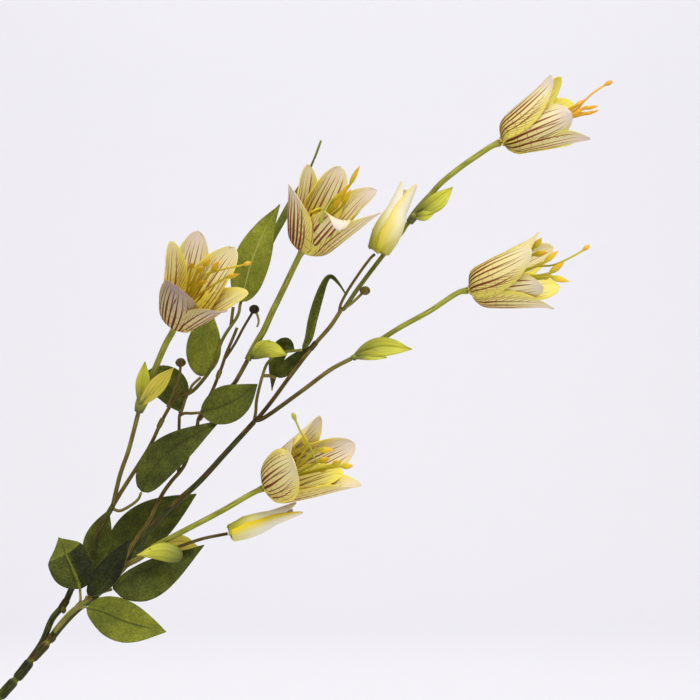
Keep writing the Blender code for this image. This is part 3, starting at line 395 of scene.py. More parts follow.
def petal_cloth(name, inside):
    """Polyester satin, printed in maroon veins and pressed to shape: soft, matt, printed colour."""
    material, tree, shader = new_material(
        name, "#e6d9a0", 0.8, Specular_IOR_Level=0.15, Subsurface_Weight=0.12, Subsurface_Scale=0.002)
    across = add(tree, "Math", [attribute(tree, "across")], operation="ABSOLUTE")
    along = attribute(tree, "along")
    fan = attribute(tree, "fan")
    bold = attribute(tree, "bold")
    flush = attribute(tree, "tint")
    side = add(tree, "Math", [fan], operation="ABSOLUTE")
    place = add(tree, "CombineXYZ", [fan, along, attribute(tree, "seed")])
    coarse = add(tree, "TexNoise", {"Vector": place, "Scale": 0.9, "Detail": 2.0})
    fine = add(tree, "TexNoise", {"Vector": place, "Scale": 4.0, "Detail": 3.0})
    sway = add(tree, "Math", [coarse, 0.9, -0.45], operation="MULTIPLY_ADD")
    bent = add(tree, "Math", [fan, sway], operation="ADD")

    # The main veins run straight from the claw towards the tip; each one ends at its own height.
    number = add(tree, "Math", [bent], operation="ROUND")
    own = add(tree, "TexWhiteNoise", [None, number], noise_dimensions="1D")
    reach = add(tree, "Math", [own, 0.22, along], operation="MULTIPLY_ADD")
    reach = add(tree, "Math", [side, 0.028, reach], operation="MULTIPLY_ADD")
    reach = add(tree, "Math", [bold, -0.12, reach], operation="MULTIPLY_ADD")
    apart = add(tree, "Math", [bent, 0.5], operation="PINGPONG")
    half = add(tree, "MapRange", [reach, 0.3, 1.02, 0.16, 0.02])
    swell = add(tree, "Math", [bold, 0.55, 0.9], operation="MULTIPLY_ADD")
    half = add(tree, "Math", [half, swell], operation="MULTIPLY")
    inner = add(tree, "Math", [apart, half], operation="SUBTRACT")
    main = add(tree, "MapRange", [inner, -0.02, 0.02, 1.0, 0.0])
    gate = add(tree, "MapRange", [reach, 0.97, 1.03, 1.0, 0.0])
    main = add(tree, "Math", [main, gate], operation="MULTIPLY")
    gate = add(tree, "MapRange", [across, 0.66, 0.7, 1.0, 0.0])
    main = add(tree, "Math", [main, gate], operation="MULTIPLY")

    gate = add(tree, "MapRange", [along, 0.84, 0.92, 1.0, 0.0])
    main = add(tree, "Math", [main, gate], operation="MULTIPLY")

    # Forks leave the main veins in the upper half.
    drift = add(tree, "MapRange", [along, 0.35, 0.85, 0.0, 0.5])
    forked = add(tree, "Math", [bent, drift], operation="SUBTRACT")
    forked = add(tree, "Math", [forked, 0.5], operation="PINGPONG")
    fork = add(tree, "MapRange", [forked, 0.05, 0.09, 0.9, 0.0])
    gate = add(tree, "MapRange", [along, 0.35, 0.4, 0.0, 1.0])
    fork = add(tree, "Math", [fork, gate], operation="MULTIPLY")
    gate = add(tree, "MapRange", [reach, 0.8, 0.95, 1.0, 0.0])
    fork = add(tree, "Math", [fork, gate], operation="MULTIPLY")
    gate = add(tree, "MapRange", [own, 0.45, 0.5, 0.0, 1.0])
    fork = add(tree, "Math", [fork, gate], operation="MULTIPLY")

    # Feathery side veins run out from the last main vein to the margin, aslant towards the tip.
    slant = add(tree, "Math", [coarse, 1.1], operation="MULTIPLY")
    slant = add(tree, "Math", [side, -2.2, slant], operation="MULTIPLY_ADD")
    slant = add(tree, "Math", [along, 11.0, slant], operation="MULTIPLY_ADD")
    slant = add(tree, "Math", [slant, 0.5], operation="PINGPONG")
    feather = add(tree, "MapRange", [slant, 0.06, 0.15, 0.8, 0.0])
    gate = add(tree, "MapRange", [across, 0.42, 0.46, 0.0, 1.0])
    feather = add(tree, "Math", [feather, gate], operation="MULTIPLY")
    limit = add(tree, "Math", [coarse, 0.4, across], operation="MULTIPLY_ADD")
    gate = add(tree, "MapRange", [limit, 0.95, 1.15, 1.0, 0.0])
    feather = add(tree, "Math", [feather, gate], operation="MULTIPLY")
    gate = add(tree, "MapRange", [along, 0.72, 0.85, 1.0, 0.0])
    feather = add(tree, "Math", [feather, gate], operation="MULTIPLY")

    # Thin bars join neighbouring veins in the lower half.
    strip = add(tree, "Math", [bent], operation="FLOOR")
    shift = add(tree, "TexWhiteNoise", [None, strip], noise_dimensions="1D")
    rung = add(tree, "Math", [along, 8.0, shift], operation="MULTIPLY_ADD")
    rung = add(tree, "Math", [fan, 0.12, rung], operation="MULTIPLY_ADD")
    rung = add(tree, "Math", [rung, 0.5], operation="PINGPONG")
    bar = add(tree, "MapRange", [rung, 0.02, 0.07, 0.75, 0.0])
    gate = add(tree, "MapRange", [bold, 0.3, 0.9, 0.4, 1.0])
    bar = add(tree, "Math", [bar, gate], operation="MULTIPLY")
    gate = add(tree, "MapRange", [along, 0.45, 0.6, 1.0, 0.0])
    bar = add(tree, "Math", [bar, gate], operation="MULTIPLY")

    print_mask = add(tree, "Math", [main, fork], operation="MAXIMUM")
    print_mask = add(tree, "Math", [print_mask, feather], operation="MAXIMUM")
    print_mask = add(tree, "Math", [print_mask, bar], operation="MAXIMUM")
    strength = 0.85 if inside else 0.95
    print_mask = add(tree, "Math", [print_mask, strength], operation="MULTIPLY")

    edge = add(tree, "Math", [fine, 0.3, across], operation="MULTIPLY_ADD")
    margin = add(tree, "MapRange", [edge, 0.55, 1.15, 0.0, 1.0])
    tip = add(tree, "Math", [fine, 0.25, along], operation="MULTIPLY_ADD")
    tip = add(tree, "MapRange", [tip, 0.92, 1.12, 0.0, 1.0])
    yellow = add(tree, "Math", [flush, 0.0], operation="MAXIMUM")
    if inside:
        ground = add(tree, "ValToRGB", [along], stops=[
            (0.0, "#a88008"), (0.2, "#d2aa10"), (0.42, "#ead454"), (0.64, "#f2e6ae"), (1.0, "#eee2ce")])
        ground = add(tree, "Mix", {0: margin, 6: ground, 7: linear("#ead94a")}, 2, data_type="RGBA")
    else:
        ground = add(tree, "ValToRGB", [along], stops=[
            (0.0, "#80741e"), (0.12, "#bea63c"), (0.28, "#dcc474"), (0.6, "#ecda98"), (0.85, "#efe1b6"),
            (1.0, "#e0d0bc")])
        ground = add(tree, "Mix", {0: margin, 6: ground, 7: linear("#e4d25a")}, 2, data_type="RGBA")
    far = add(tree, "MapRange", [along, 0.3, 0.8, 0.0, 0.8])
    far = add(tree, "Math", [far, yellow], operation="MULTIPLY")
    blush = add(tree, "Mix", {0: yellow, 6: linear("#e0d0c2"), 7: linear("#ece07c")}, 2, data_type="RGBA")
    ground = add(tree, "Mix", {0: tip, 6: ground, 7: blush}, 2, data_type="RGBA")
    ground = add(tree, "Mix", {0: far, 6: ground, 7: linear("#efe25c")}, 2, data_type="RGBA")
    # A negative flush turns the petal mauve, its own colour, and darkens its ground and veins: painted shade on
    # petals that face away from the light.
    mauve_and_shade = add(tree, "MapRange", [flush, 0.0, -1.0, 0.0, 1.0])
    far = add(tree, "MapRange", [along, 0.15, 0.9, 0.12, 0.8])
    mauve_and_shade = add(tree, "Math", [mauve_and_shade, far], operation="MULTIPLY")
    ground = add(tree, "Mix", {0: mauve_and_shade, 6: ground, 7: linear("#937e74")}, 2, data_type="RGBA")
    maroon = add(tree, "ValToRGB", [along], stops=[
        (0.0, "#320e05"), (0.35, "#6e1f0e"), (0.75, "#8a3a26"), (1.0, "#a56a5c")])
    maroon = add(tree, "Mix", {0: mauve_and_shade, 6: maroon, 7: linear("#2c120a")}, 2, data_type="RGBA")
    colour = add(tree, "Mix", {0: print_mask, 6: ground, 7: maroon}, 2, data_type="RGBA")
    tree.links.new(colour, shader.inputs["Base Color"])

    # The threads are drawn about 0.5 mm apart, coarser than real ones, so that they can show.
    uv = add(tree, "UVMap")
    weave = add(tree, "TexChecker", {"Vector": uv, "Scale": 110.0}, 1)
    weave = add(tree, "Math", [weave, 0.3, fine], operation="MULTIPLY_ADD")
    pressed = add(tree, "Math", [print_mask, -0.8, weave], operation="MULTIPLY_ADD")
    relief = add(tree, "Bump", {"Strength": 0.25, "Distance": 0.0003, "Height": pressed})
    tree.links.new(relief, shader.inputs["Normal"])
    return material


def leaf_cloth(name, under):
    """Dyed polyester cloth with embossed veins: mottled olive green above, paler below."""
    material, tree, shader = new_material(name, "#565c1a", 0.72, Specular_IOR_Level=0.2)
    across = add(tree, "Math", [attribute(tree, "across")], operation="ABSOLUTE")
    along = attribute(tree, "along")
    tone = attribute(tree, "tint")
    if under:
        tone = add(tree, "Math", [tone, -0.5, 0.8], operation="MULTIPLY_ADD")
    place = add(tree, "TexCoord", output=3)
    mottle = add(tree, "TexNoise", {"Vector": place, "Scale": 160.0, "Detail": 4.0, "Roughness": 0.65})
    speckle = add(tree, "TexNoise", {"Vector": place, "Scale": 1000.0, "Detail": 2.0})
    patches = add(tree, "TexNoise", {"Vector": place, "Scale": 45.0, "Detail": 2.0})
    shade = add(tree, "Math", [mottle, 0.4, tone], operation="MULTIPLY_ADD")
    shade = add(tree, "Math", [patches, 0.4, shade], operation="MULTIPLY_ADD")
    shade = add(tree, "Math", [speckle, 0.5, shade], operation="MULTIPLY_ADD")
    shade = add(tree, "Math", [shade, -0.65], operation="ADD")
    # A fine pale net lies between slanting side veins; the rib is a dark groove.
    wander = add(tree, "TexNoise", {"Vector": place, "Scale": 300.0, "Detail": 1.0}, 1)
    bent = add(tree, "Mix", {0: 0.003, 4: place, 5: wander}, 1, data_type="VECTOR")
    cells = add(tree, "TexVoronoi", {"Vector": bent, "Scale": 620.0}, feature="DISTANCE_TO_EDGE")
    net = add(tree, "MapRange", [cells, 0.0, 0.16, 0.6, 0.0])
    gate = add(tree, "MapRange", [patches, 0.4, 0.6, 0.3, 1.0])
    net = add(tree, "Math", [net, gate], operation="MULTIPLY")
    slant = add(tree, "Math", [across, -1.5, mottle], operation="MULTIPLY_ADD")
    slant = add(tree, "Math", [along, 8.0, slant], operation="MULTIPLY_ADD")
    slant = add(tree, "Math", [slant, 0.5], operation="PINGPONG")
    vein = add(tree, "MapRange", [slant, 0.0, 0.05, 0.7, 0.0])
    vein = add(tree, "Math", [vein, net], operation="MAXIMUM")
    shade = add(tree, "Math", [vein, 0.22, shade], operation="MULTIPLY_ADD")
    colour = add(tree, "ValToRGB", [shade], stops=[
        (0.0, "#131506"), (0.2, "#2a2f0c"), (0.4, "#444a13"), (0.6, "#5e641a"), (0.8, "#7c8022"),
        (1.0, "#999a36")])
    rib = add(tree, "MapRange", [across, 0.03, 0.06, 0.75, 0.0])
    pale = add(tree, "MapRange", [tone, 0.68, 0.71, 0.0, 1.0])
    groove = add(tree, "Mix", {0: pale, 6: linear("#3a3c10"), 7: linear("#a5a65a")}, 2, data_type="RGBA")
    colour = add(tree, "Mix", {0: rib, 6: colour, 7: groove}, 2, data_type="RGBA")
    tree.links.new(colour, shader.inputs["Base Color"])
    height = add(tree, "Math", [vein, -1.2, speckle], operation="MULTIPLY_ADD")
    relief = add(tree, "Bump", {"Strength": 0.35, "Distance": 0.0004, "Height": height})
    tree.links.new(relief, shader.inputs["Normal"])
    return material


def wire_cover(name, roughness):
    """Moulded polyethylene over steel wire: satin, streaked along its length, brown or green."""
    material, tree, shader = new_material(name, "#5f5a22", roughness, Specular_IOR_Level=0.15)
    tone = attribute(tree, "tint")
    uv = add(tree, "UVMap")
    stretched = add(tree, "Mapping", {"Vector": uv, "Scale": (14.0, 1.5, 1.0)})
    streaks = add(tree, "TexNoise", {"Vector": stretched, "Scale": 1.6, "Detail": 3.0})
    place = add(tree, "TexCoord", output=3)
    blotch = add(tree, "TexNoise", {"Vector": place, "Scale": 110.0, "Detail": 3.0})
    shade = add(tree, "Math", [streaks, 1.2, tone], operation="MULTIPLY_ADD")
    shade = add(tree, "Math", [blotch, 0.3, shade], operation="MULTIPLY_ADD")
    shade = add(tree, "Math", [shade, -0.68], operation="ADD")
    brown = add(tree, "ValToRGB", [shade], stops=[
        (0.0, "#20160a"), (0.2, "#443312"), (0.4, "#665524"), (0.6, "#857a3a"), (0.8, "#98935a"),
        (1.0, "#b0ac70")])
    green = add(tree, "ValToRGB", [shade], stops=[
        (0.0, "#14170a"), (0.2, "#2c3010"), (0.4, "#4a4e18"), (0.6, "#6e7022"), (0.8, "#8e9030"),
        (1.0, "#a8a846")])
    patch = add(tree, "Math", [blotch, 1.6, -0.8], operation="MULTIPLY_ADD")
    patch = add(tree, "Math", [patch, attribute(tree, "fan")], operation="ADD")
    patch = add(tree, "MapRange", [patch, 0.4, 0.6, 0.0, 1.0])
    colour = add(tree, "Mix", {0: patch, 6: brown, 7: green}, 2, data_type="RGBA")
    tree.links.new(colour, shader.inputs["Base Color"])
    relief = add(tree, "Bump", {"Strength": 0.3, "Distance": 0.0003, "Height": streaks})
    tree.links.new(relief, shader.inputs["Normal"])
    return material


def stamen_plastic(name):
    """Soft polyethylene moulded in yellow, tinted green at the foot and orange at the tips."""
    material, tree, shader = new_material(name, "#e0a216", 0.42, Subsurface_Weight=0.1, Subsurface_Scale=0.001)
    warmth = attribute(tree, "tint")
    along = attribute(tree, "along")
    cool = add(tree, "ValToRGB", [along], stops=[
        (0.0, "#a09c1c"), (0.55, "#bab21e"), (0.78, "#d6c020"), (1.0, "#e8b01c")])
    warm = add(tree, "ValToRGB", [along], stops=[
        (0.0, "#cfa81c"), (0.55, "#e6b418"), (0.8, "#eaae16"), (1.0, "#e09812")])
    colour = add(tree, "Mix", {0: warmth, 6: cool, 7: warm}, 2, data_type="RGBA")
    fresh = add(tree, "MapRange", [warmth, 0.0, -1.0, 0.0, 1.0])
    colour = add(tree, "Mix", {0: fresh, 6: colour, 7: linear("#a3a02c")}, 2, data_type="RGBA")
    tree.links.new(colour, shader.inputs["Base Color"])
    place = add(tree, "TexCoord", output=3)
    grain = add(tree, "TexNoise", {"Vector": place, "Scale": 900.0, "Detail": 2.0})
    relief = add(tree, "Bump", {"Strength": 0.2, "Distance": 0.0002, "Height": grain})
    tree.links.new(relief, shader.inputs["Normal"])
    return material


def bract_cloth(name):
    """Lime cloth pressed into lengthwise pleats, with a yellow or orange flush on some, and painted shade: dark
    olive at the foot and darker in the pleat grooves.
    """
    material, tree, shader = new_material(name, "#a8b82e", 0.6)
    across = attribute(tree, "across")
    along = attribute(tree, "along")
    place = add(tree, "CombineXYZ", [across, along, attribute(tree, "seed")])
    drift = add(tree, "TexNoise", {"Vector": place, "Scale": 2.5, "Detail": 2.0})
    pleat = add(tree, "Math", [across, 2.6, drift], operation="MULTIPLY_ADD")
    pleat = add(tree, "Math", [pleat, 0.5], operation="PINGPONG")
    # The pleat grooves are painted a darker green: painted shade in the creases.
    groove = add(tree, "MapRange", [pleat, 0.0, 0.16, 0.55, 0.0])
    # The dark olive low end of this ramp is painted shade at the foot of each bract, round the stem.
    ground = add(tree, "ValToRGB", [along], stops=[
        (0.0, "#4c4e16"), (0.25, "#84861e"), (0.5, "#b0ae26"), (0.8, "#c8c430"), (1.0, "#b2ae32")])
    flush = add(tree, "Math", [drift, attribute(tree, "tint")], operation="MULTIPLY")
    flush = add(tree, "MapRange", [flush, 0.15, 0.45, 0.0, 0.9])
    ground = add(tree, "Mix", {0: flush, 6: ground, 7: linear("#dcc344")}, 2, data_type="RGBA")
    colour = add(tree, "Mix", {0: groove, 6: ground, 7: linear("#717c22")}, 2, data_type="RGBA")
    tree.links.new(colour, shader.inputs["Base Color"])
    height = add(tree, "Math", [groove, -1.0, drift], operation="MULTIPLY_ADD")
    relief = add(tree, "Bump", {"Strength": 0.4, "Distance": 0.0005, "Height": height})
    tree.links.new(relief, shader.inputs["Normal"])
    return material


def bud_cloth(name):
    """Pale cloth wrapped into a closed bud: olive at its foot, deep yellow along the wrapped edge."""
    material, tree, shader = new_material(
        name, "#e8dfb0", 0.8, Specular_IOR_Level=0.15, Subsurface_Weight=0.12, Subsurface_Scale=0.002)
    across = attribute(tree, "across")
    along = attribute(tree, "along")
    outer = attribute(tree, "tint")
    place = add(tree, "CombineXYZ", [across, along, attribute(tree, "seed")])
    cloud = add(tree, "TexNoise", {"Vector": place, "Scale": 2.4, "Detail": 3.0})
    streaks = add(tree, "Mapping", {"Vector": place, "Scale": (9.0, 1.0, 1.0)})
    streaks = add(tree, "TexNoise", {"Vector": streaks, "Scale": 2.0, "Detail": 2.0})
    reach = add(tree, "Math", [cloud, 0.3, along], operation="MULTIPLY_ADD")
    reach = add(tree, "Math", [outer, 0.24, reach], operation="MULTIPLY_ADD")
    reach = add(tree, "Math", [across, 0.12, reach], operation="MULTIPLY_ADD")
    reach = add(tree, "Math", [streaks, 0.15, reach], operation="MULTIPLY_ADD")
    ground = add(tree, "ValToRGB", [reach], stops=[
        (0.18, "#7f7f1e"), (0.4, "#a8a334"), (0.6, "#d6cc7c"), (0.85, "#ebe2b8"), (1.0, "#ece4c8")])
    fold = add(tree, "MapRange", [across, -0.3, -1.0, 0.0, 0.85])
    gate = add(tree, "MapRange", [reach, 0.3, 0.5, 0.0, 1.0])
    fold = add(tree, "Math", [fold, gate], operation="MULTIPLY")
    fold = add(tree, "Math", [fold, outer], operation="MULTIPLY")
    colour = add(tree, "Mix", {0: fold, 6: ground, 7: linear("#e6ca22")}, 2, data_type="RGBA")
    tree.links.new(colour, shader.inputs["Base Color"])
    relief = add(tree, "Bump", {"Strength": 0.25, "Distance": 0.0004, "Height": streaks})
    tree.links.new(relief, shader.inputs["Normal"])
    return material


def vase_glaze(name):
    """Stoneware in an off-white glaze, fired glossy, with fine iron specks under it."""
    material, tree, shader = new_material(name, "#ddd8ca", 0.22, Coat_Weight=0.3, Coat_Roughness=0.1)
    place = add(tree, "TexCoord", output=3)
    specks = add(tree, "TexVoronoi", {"Vector": place, "Scale": 240.0, "Randomness": 1.0})
    cloud = add(tree, "TexNoise", {"Vector": place, "Scale": 30.0, "Detail": 3.0})
    size = add(tree, "MapRange", [cloud, 0.45, 0.75, 0.02, 0.2])
    dot = add(tree, "Math", [specks, size], operation="LESS_THAN")
    dot = add(tree, "Math", [dot, 0.45], operation="MULTIPLY")
    ground = add(tree, "ValToRGB", [cloud], stops=[(0.3, "#d3ccba"), (0.7, "#e4dfd2")])
    colour = add(tree, "Mix", {0: dot, 6: ground, 7: linear("#7c6a52")}, 2, data_type="RGBA")
    tree.links.new(colour, shader.inputs["Base Color"])
    return material


def bare_stoneware(name):
    """The unglazed foot ring, fired matt and sandy."""
    material, tree, shader = new_material(name, "#b8a88c", 0.85)
    place = add(tree, "TexCoord", output=3)
    sand = add(tree, "TexNoise", {"Vector": place, "Scale": 700.0, "Detail": 4.0})
    colour = add(tree, "ValToRGB", [sand], stops=[(0.3, "#a39274"), (0.7, "#c6b79c")])
    tree.links.new(colour, shader.inputs["Base Color"])
    relief = add(tree, "Bump", {"Strength": 0.3, "Distance": 0.0003, "Height": sand})
    tree.links.new(relief, shader.inputs["Normal"])
    return material


def smooth_route(places, step):
    """Points about a step apart on a smooth curve through the given places, in metres."""
    knots = [point(place) for place in places]
    knots = [2 * knots[0] - knots[1], *knots, 2 * knots[-1] - knots[-2]]
    fine = []
    for before, start, end, after in zip(knots, knots[1:], knots[2:], knots[3:]):
        for index in range(CURVE_PARTS):
            t = index / CURVE_PARTS
            fine.append(0.5 * (
                2 * start + (end - before) * t
                + (2 * before - 5 * start + 4 * end - after) * t ** 2
                + (3 * start - before - 3 * end + after) * t ** 3))
    fine.append(knots[-2])
    reach = [0.0]
    for start, end in zip(fine, fine[1:]):
        reach.append(reach[-1] + (end - start).length)
    count = max(2, round(reach[-1] / (step * MM)))
    route = [fine[0]]
    index = 0
    for stop in range(1, count):
        goal = reach[-1] * stop / count
        while reach[index + 1] < goal:
            index += 1
        part = (goal - reach[index]) / (reach[index + 1] - reach[index])
        route.append(fine[index].lerp(fine[index + 1], part))
    route.append(fine[-1])
    return route


MARKS = ("across", "along", "fan", "tint", "seed", "bold")


def new_form():
    """A bmesh with a UV map and the marks that the materials read."""
    form = bmesh.new()
    form.loops.layers.uv.new("UVMap")
    for mark in MARKS:
        form.verts.layers.float.new(mark)
    return form


def add_surface(form, across, along, shape, tint=0.0, seed=0.0, fan=None, bold=0.0):
    """A grid bent to a shape: u runs from -1 to 1 across it, t from 0 to 1 along it."""
    layers = {mark: form.verts.layers.float[mark] for mark in MARKS}
    made = bmesh.ops.create_grid(form, x_segments=across, y_segments=along, size=1, calc_uvs=True)
    for corner in made["verts"]:
        u = corner.co.x
        t = (corner.co.y + 1) / 2
        corner[layers["across"]] = u
        corner[layers["along"]] = t
        corner[layers["fan"]] = fan(u, t) if fan else u
        corner[layers["tint"]] = tint(u, t) if callable(tint) else tint
        corner[layers["seed"]] = seed
        corner[layers["bold"]] = bold
        corner.co = shape(u, t)
    return made["verts"]


def add_tube(form, route, radii, sides=12, tints=(0.0, 0.0), seed=0.0, ribs=0, flat=1.0, start=0.0, end=1.0,
             facing=FRONT, fresh=0.0):
    """A closed tube along a route, with a radius in millimetres at each point of it."""
    layers = {mark: form.verts.layers.float[mark] for mark in MARKS}
    uv = form.loops.layers.uv["UVMap"]
    run = (route[1] - route[0]).normalized()
    side = run.cross(facing)
    side = side.normalized() if side.length > 0.1 else run.orthogonal().normalized()
    rings = []
    for index, centre in enumerate(route):
        ahead = route[min(index + 1, len(route) - 1)]
        behind = route[max(index - 1, 0)]
        run = (ahead - behind).normalized()
        side = (side - run * side.dot(run)).normalized()
        rings.append((centre, side.copy(), run.cross(side), radii[index]))
    rings.insert(0, (*rings[0][:3], 0.0))
    rings.append((*rings[-1][:3], 0.0))
    last = len(rings) - 1
    made = bmesh.ops.create_grid(form, x_segments=sides, y_segments=last, size=1, calc_uvs=True)
    corners = made["verts"]
    length = sum((b - a).length for a, b in zip(route, route[1:])) / MM
    faces = {face for corner in corners for face in corner.link_faces}
    for face in faces:
        for loop in face.loops:
            loop[uv].uv = (loop[uv].uv.x, loop[uv].uv.y * length / 20)
    for corner in corners:
        turn = math.pi * (corner.co.x + 1)
        ring = round((corner.co.y + 1) / 2 * last)
        centre, side, other, radius = rings[ring]
        t = min(max((ring - 1) / (last - 2), 0.0), 1.0)
        ripple = 1 + 0.07 * math.cos(ribs * turn) if ribs else 1.0
        corner[layers["across"]] = corner.co.x
        corner[layers["along"]] = start + (end - start) * t
        corner[layers["fan"]] = fresh
        corner[layers["tint"]] = tints(t) if callable(tints) else tints[0] + (tints[1] - tints[0]) * t
        corner[layers["seed"]] = seed
        out = side * math.cos(turn) + other * (math.sin(turn) * flat)
        corner.co = centre + out * (radius * ripple * MM)
    bmesh.ops.remove_doubles(form, verts=corners, dist=0.00001 * MM)


def add_ball(form, centre, radii, tint, seed, rings=10, sides=14, end=1.0):
    """A slightly uneven round knob, closed at both poles."""
    layers = {mark: form.verts.layers.float[mark] for mark in MARKS}
    made = bmesh.ops.create_uvsphere(form, u_segments=sides, v_segments=rings, radius=1, calc_uvs=True)
    for corner in made["verts"]:
        spot = corner.co.copy()
        swell = 1 + 0.08 * noise.noise(spot * 1.4 + Vector((seed, 0, 0)))
        corner[layers["across"]] = spot.x
        corner[layers["along"]] = end * (spot.z + 1) / 2
        corner[layers["tint"]] = tint
        corner[layers["seed"]] = seed
        corner.co = centre + Vector([spot[axis] * radii[axis] * swell for axis in range(3)]) * MM


def finish_piece(name, form, materials, stands_for, thickness=0.0):
    """Makes the mesh an object that rides on the stem's body and stands for its solid."""
    mesh = bpy.data.meshes.new(name)
    form.to_mesh(mesh)
    form.free()
    for material in materials:
        mesh.materials.append(material)
    mesh.shade_smooth()
    piece = bpy.data.objects.new(name, mesh)
    bpy.context.scene.collection.objects.link(piece)
    if thickness:
        wall = piece.modifiers.new("Cloth", "SOLIDIFY")
        wall.thickness = thickness * MM
        wall.offset = 0
        wall.material_offset = 1
        wall.material_offset_rim = 1
    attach(piece, "root")
    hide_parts(stands_for)
    return piece


def outline_width(t, widest, tip):
    """How wide a pointed leaf is at t along it, as a share of its greatest width."""
    bend = math.log(0.5) / math.log(widest)
    power = 0.75 + (tip - 0.75) * t
    return math.sin(math.pi * min(max(t, 0.0), 1.0) ** bend) ** power if 0 < t < 1 else 0.0


def blade_shape(rib, left, right, widest=0.42, tip=1.0, roll=0, twist=0, fold=12, wave=0.0, ridge=-0.4,
                bow=0.0, seed=0.0):
    """The surface of a leaf, creased at its rib, with edges that wave a little."""
    line = smooth_route(rib, 1.5)

    def shape(u, t):
        reach = t * (len(line) - 1)
        index = min(int(reach), len(line) - 2)
        centre = line[index].lerp(line[index + 1], reach - index)
        ahead = line[min(index + 2, len(line) - 1)]
        behind = line[max(index - 1, 0)]
        run = (ahead - behind).normalized()
        face = (FRONT - run * FRONT.dot(run)).normalized()
        side = run.cross(face)
        turn = math.radians(roll + twist * t)
        across = side * math.cos(turn) + face * math.sin(turn)
        out = face * math.cos(turn) - side * math.sin(turn)
        half = (right if u > 0 else left) * outline_width(t, widest, tip) + 0.15
        lift = math.radians(fold)
        ripple = wave * u * u * math.sin(9 * t + 2 * u)
        crease = ridge * math.exp(-(u * half / 0.8) ** 2) * min(1.0, 3 * (1 - t))
        swell = 0.25 * noise.noise(Vector((u * 2, t * 6, seed)))
        return (centre + across * (u * half * math.cos(lift) * MM)
                + out * ((abs(u) * half * math.sin(lift) + ripple + crease + swell - bow * u * u) * MM))

    return shape


def petal_line(opening, length, fold, count=32):
    """Radius and height in millimetres along a petal's middle, from the cup to a tip that may fold out."""
    radius = 1.8
    height = 0.0
    line = [(radius, height)]
    for index in range(count):
        reach = min((index + 0.5) / count / 0.32, 1.0)
        ease = reach * reach * (3 - 2 * reach)
        angle = math.radians(80 + (opening - 80) * ease)
        angle += math.radians(fold) * max(0.0, ((index + 0.5) / count - 0.8) / 0.2)
        radius += math.sin(angle) * length / count
        height += math.cos(angle) * length / count
        line.append((radius, height))
    return line


def petal_half(t):
    """Half the width of a petal at t along it, as a share of its full width: blunt, with a small point."""
    return 0.5 * (0.1 * (1 - t) ** 2 + abs(math.sin(math.pi * t ** 1.08)) ** 0.6) + 0.008


def petal_fan(u, t):
    """How many main veins a point of a petal lies from its middle."""
    spread = 1.0 if t < 0.5 else (petal_half(t) / petal_half(0.5)) ** 0.6
    return 4.2 * u * spread


def petal_shape(turn, opening, length, width, inward, curl, fold, seed):
    """The surface of a petal that curls round the bloom's axis, +Z, its margins rolled out."""
    line = petal_line(opening, length, fold)

    def shape(u, t):
        reach = t * (len(line) - 1)
        index = min(int(reach), len(line) - 2)
        part = reach - index
        radius = line[index][0] * (1 - part) + line[index + 1][0] * part
        height = line[index][1] * (1 - part) + line[index + 1][1] * part
        radius -= inward * min(t * 4, 1.0)
        half = petal_half(t) * width
        bend = max(min(radius * (1.15 if inward == 0 else 1.0), 12.0 if inward == 0 else 11.0), half / 1.2)
        angle = u * half / bend
        roll = curl * max(0.0, abs(u) - 0.6) ** 2 * 6 * max(0.0, min(1.0, (t - 0.35) * 3)) * min(1.0, 6 * (1 - t))
        pleats = 0.18 * math.cos(math.pi * 2 * petal_fan(u, t)) * min(1.0, 5 * t) * (1 - 0.7 * t)
        swell = 0.5 * noise.noise(Vector((u * 1.3, t * 3, seed))) * min(1.0, 3 * t)
        lift = roll + pleats + swell + curl * 0.9 * max(0.0, t - 0.85) ** 2 * 40
        spot = Vector((radius - bend + (bend + lift) * math.cos(angle), (bend + lift) * math.sin(angle), height))
        return Matrix.Rotation(turn, 3, "Z") @ spot * MM

    return shape


def bloom_place(base, rise, forward):
    """The frame of a bloom: its base, +Z along its axis and +X as near the front as can be."""
    rise = math.radians(rise)
    forward = math.radians(forward)
    axis = Vector((
        math.cos(rise) * math.cos(forward), -math.sin(forward), math.sin(rise) * math.cos(forward)))
    front = (FRONT - axis * FRONT.dot(axis)).normalized()
    side = axis.cross(front)
    turn = Matrix((front, side, axis)).transposed().to_4x4()
    return Matrix.Translation(point(base)) @ turn


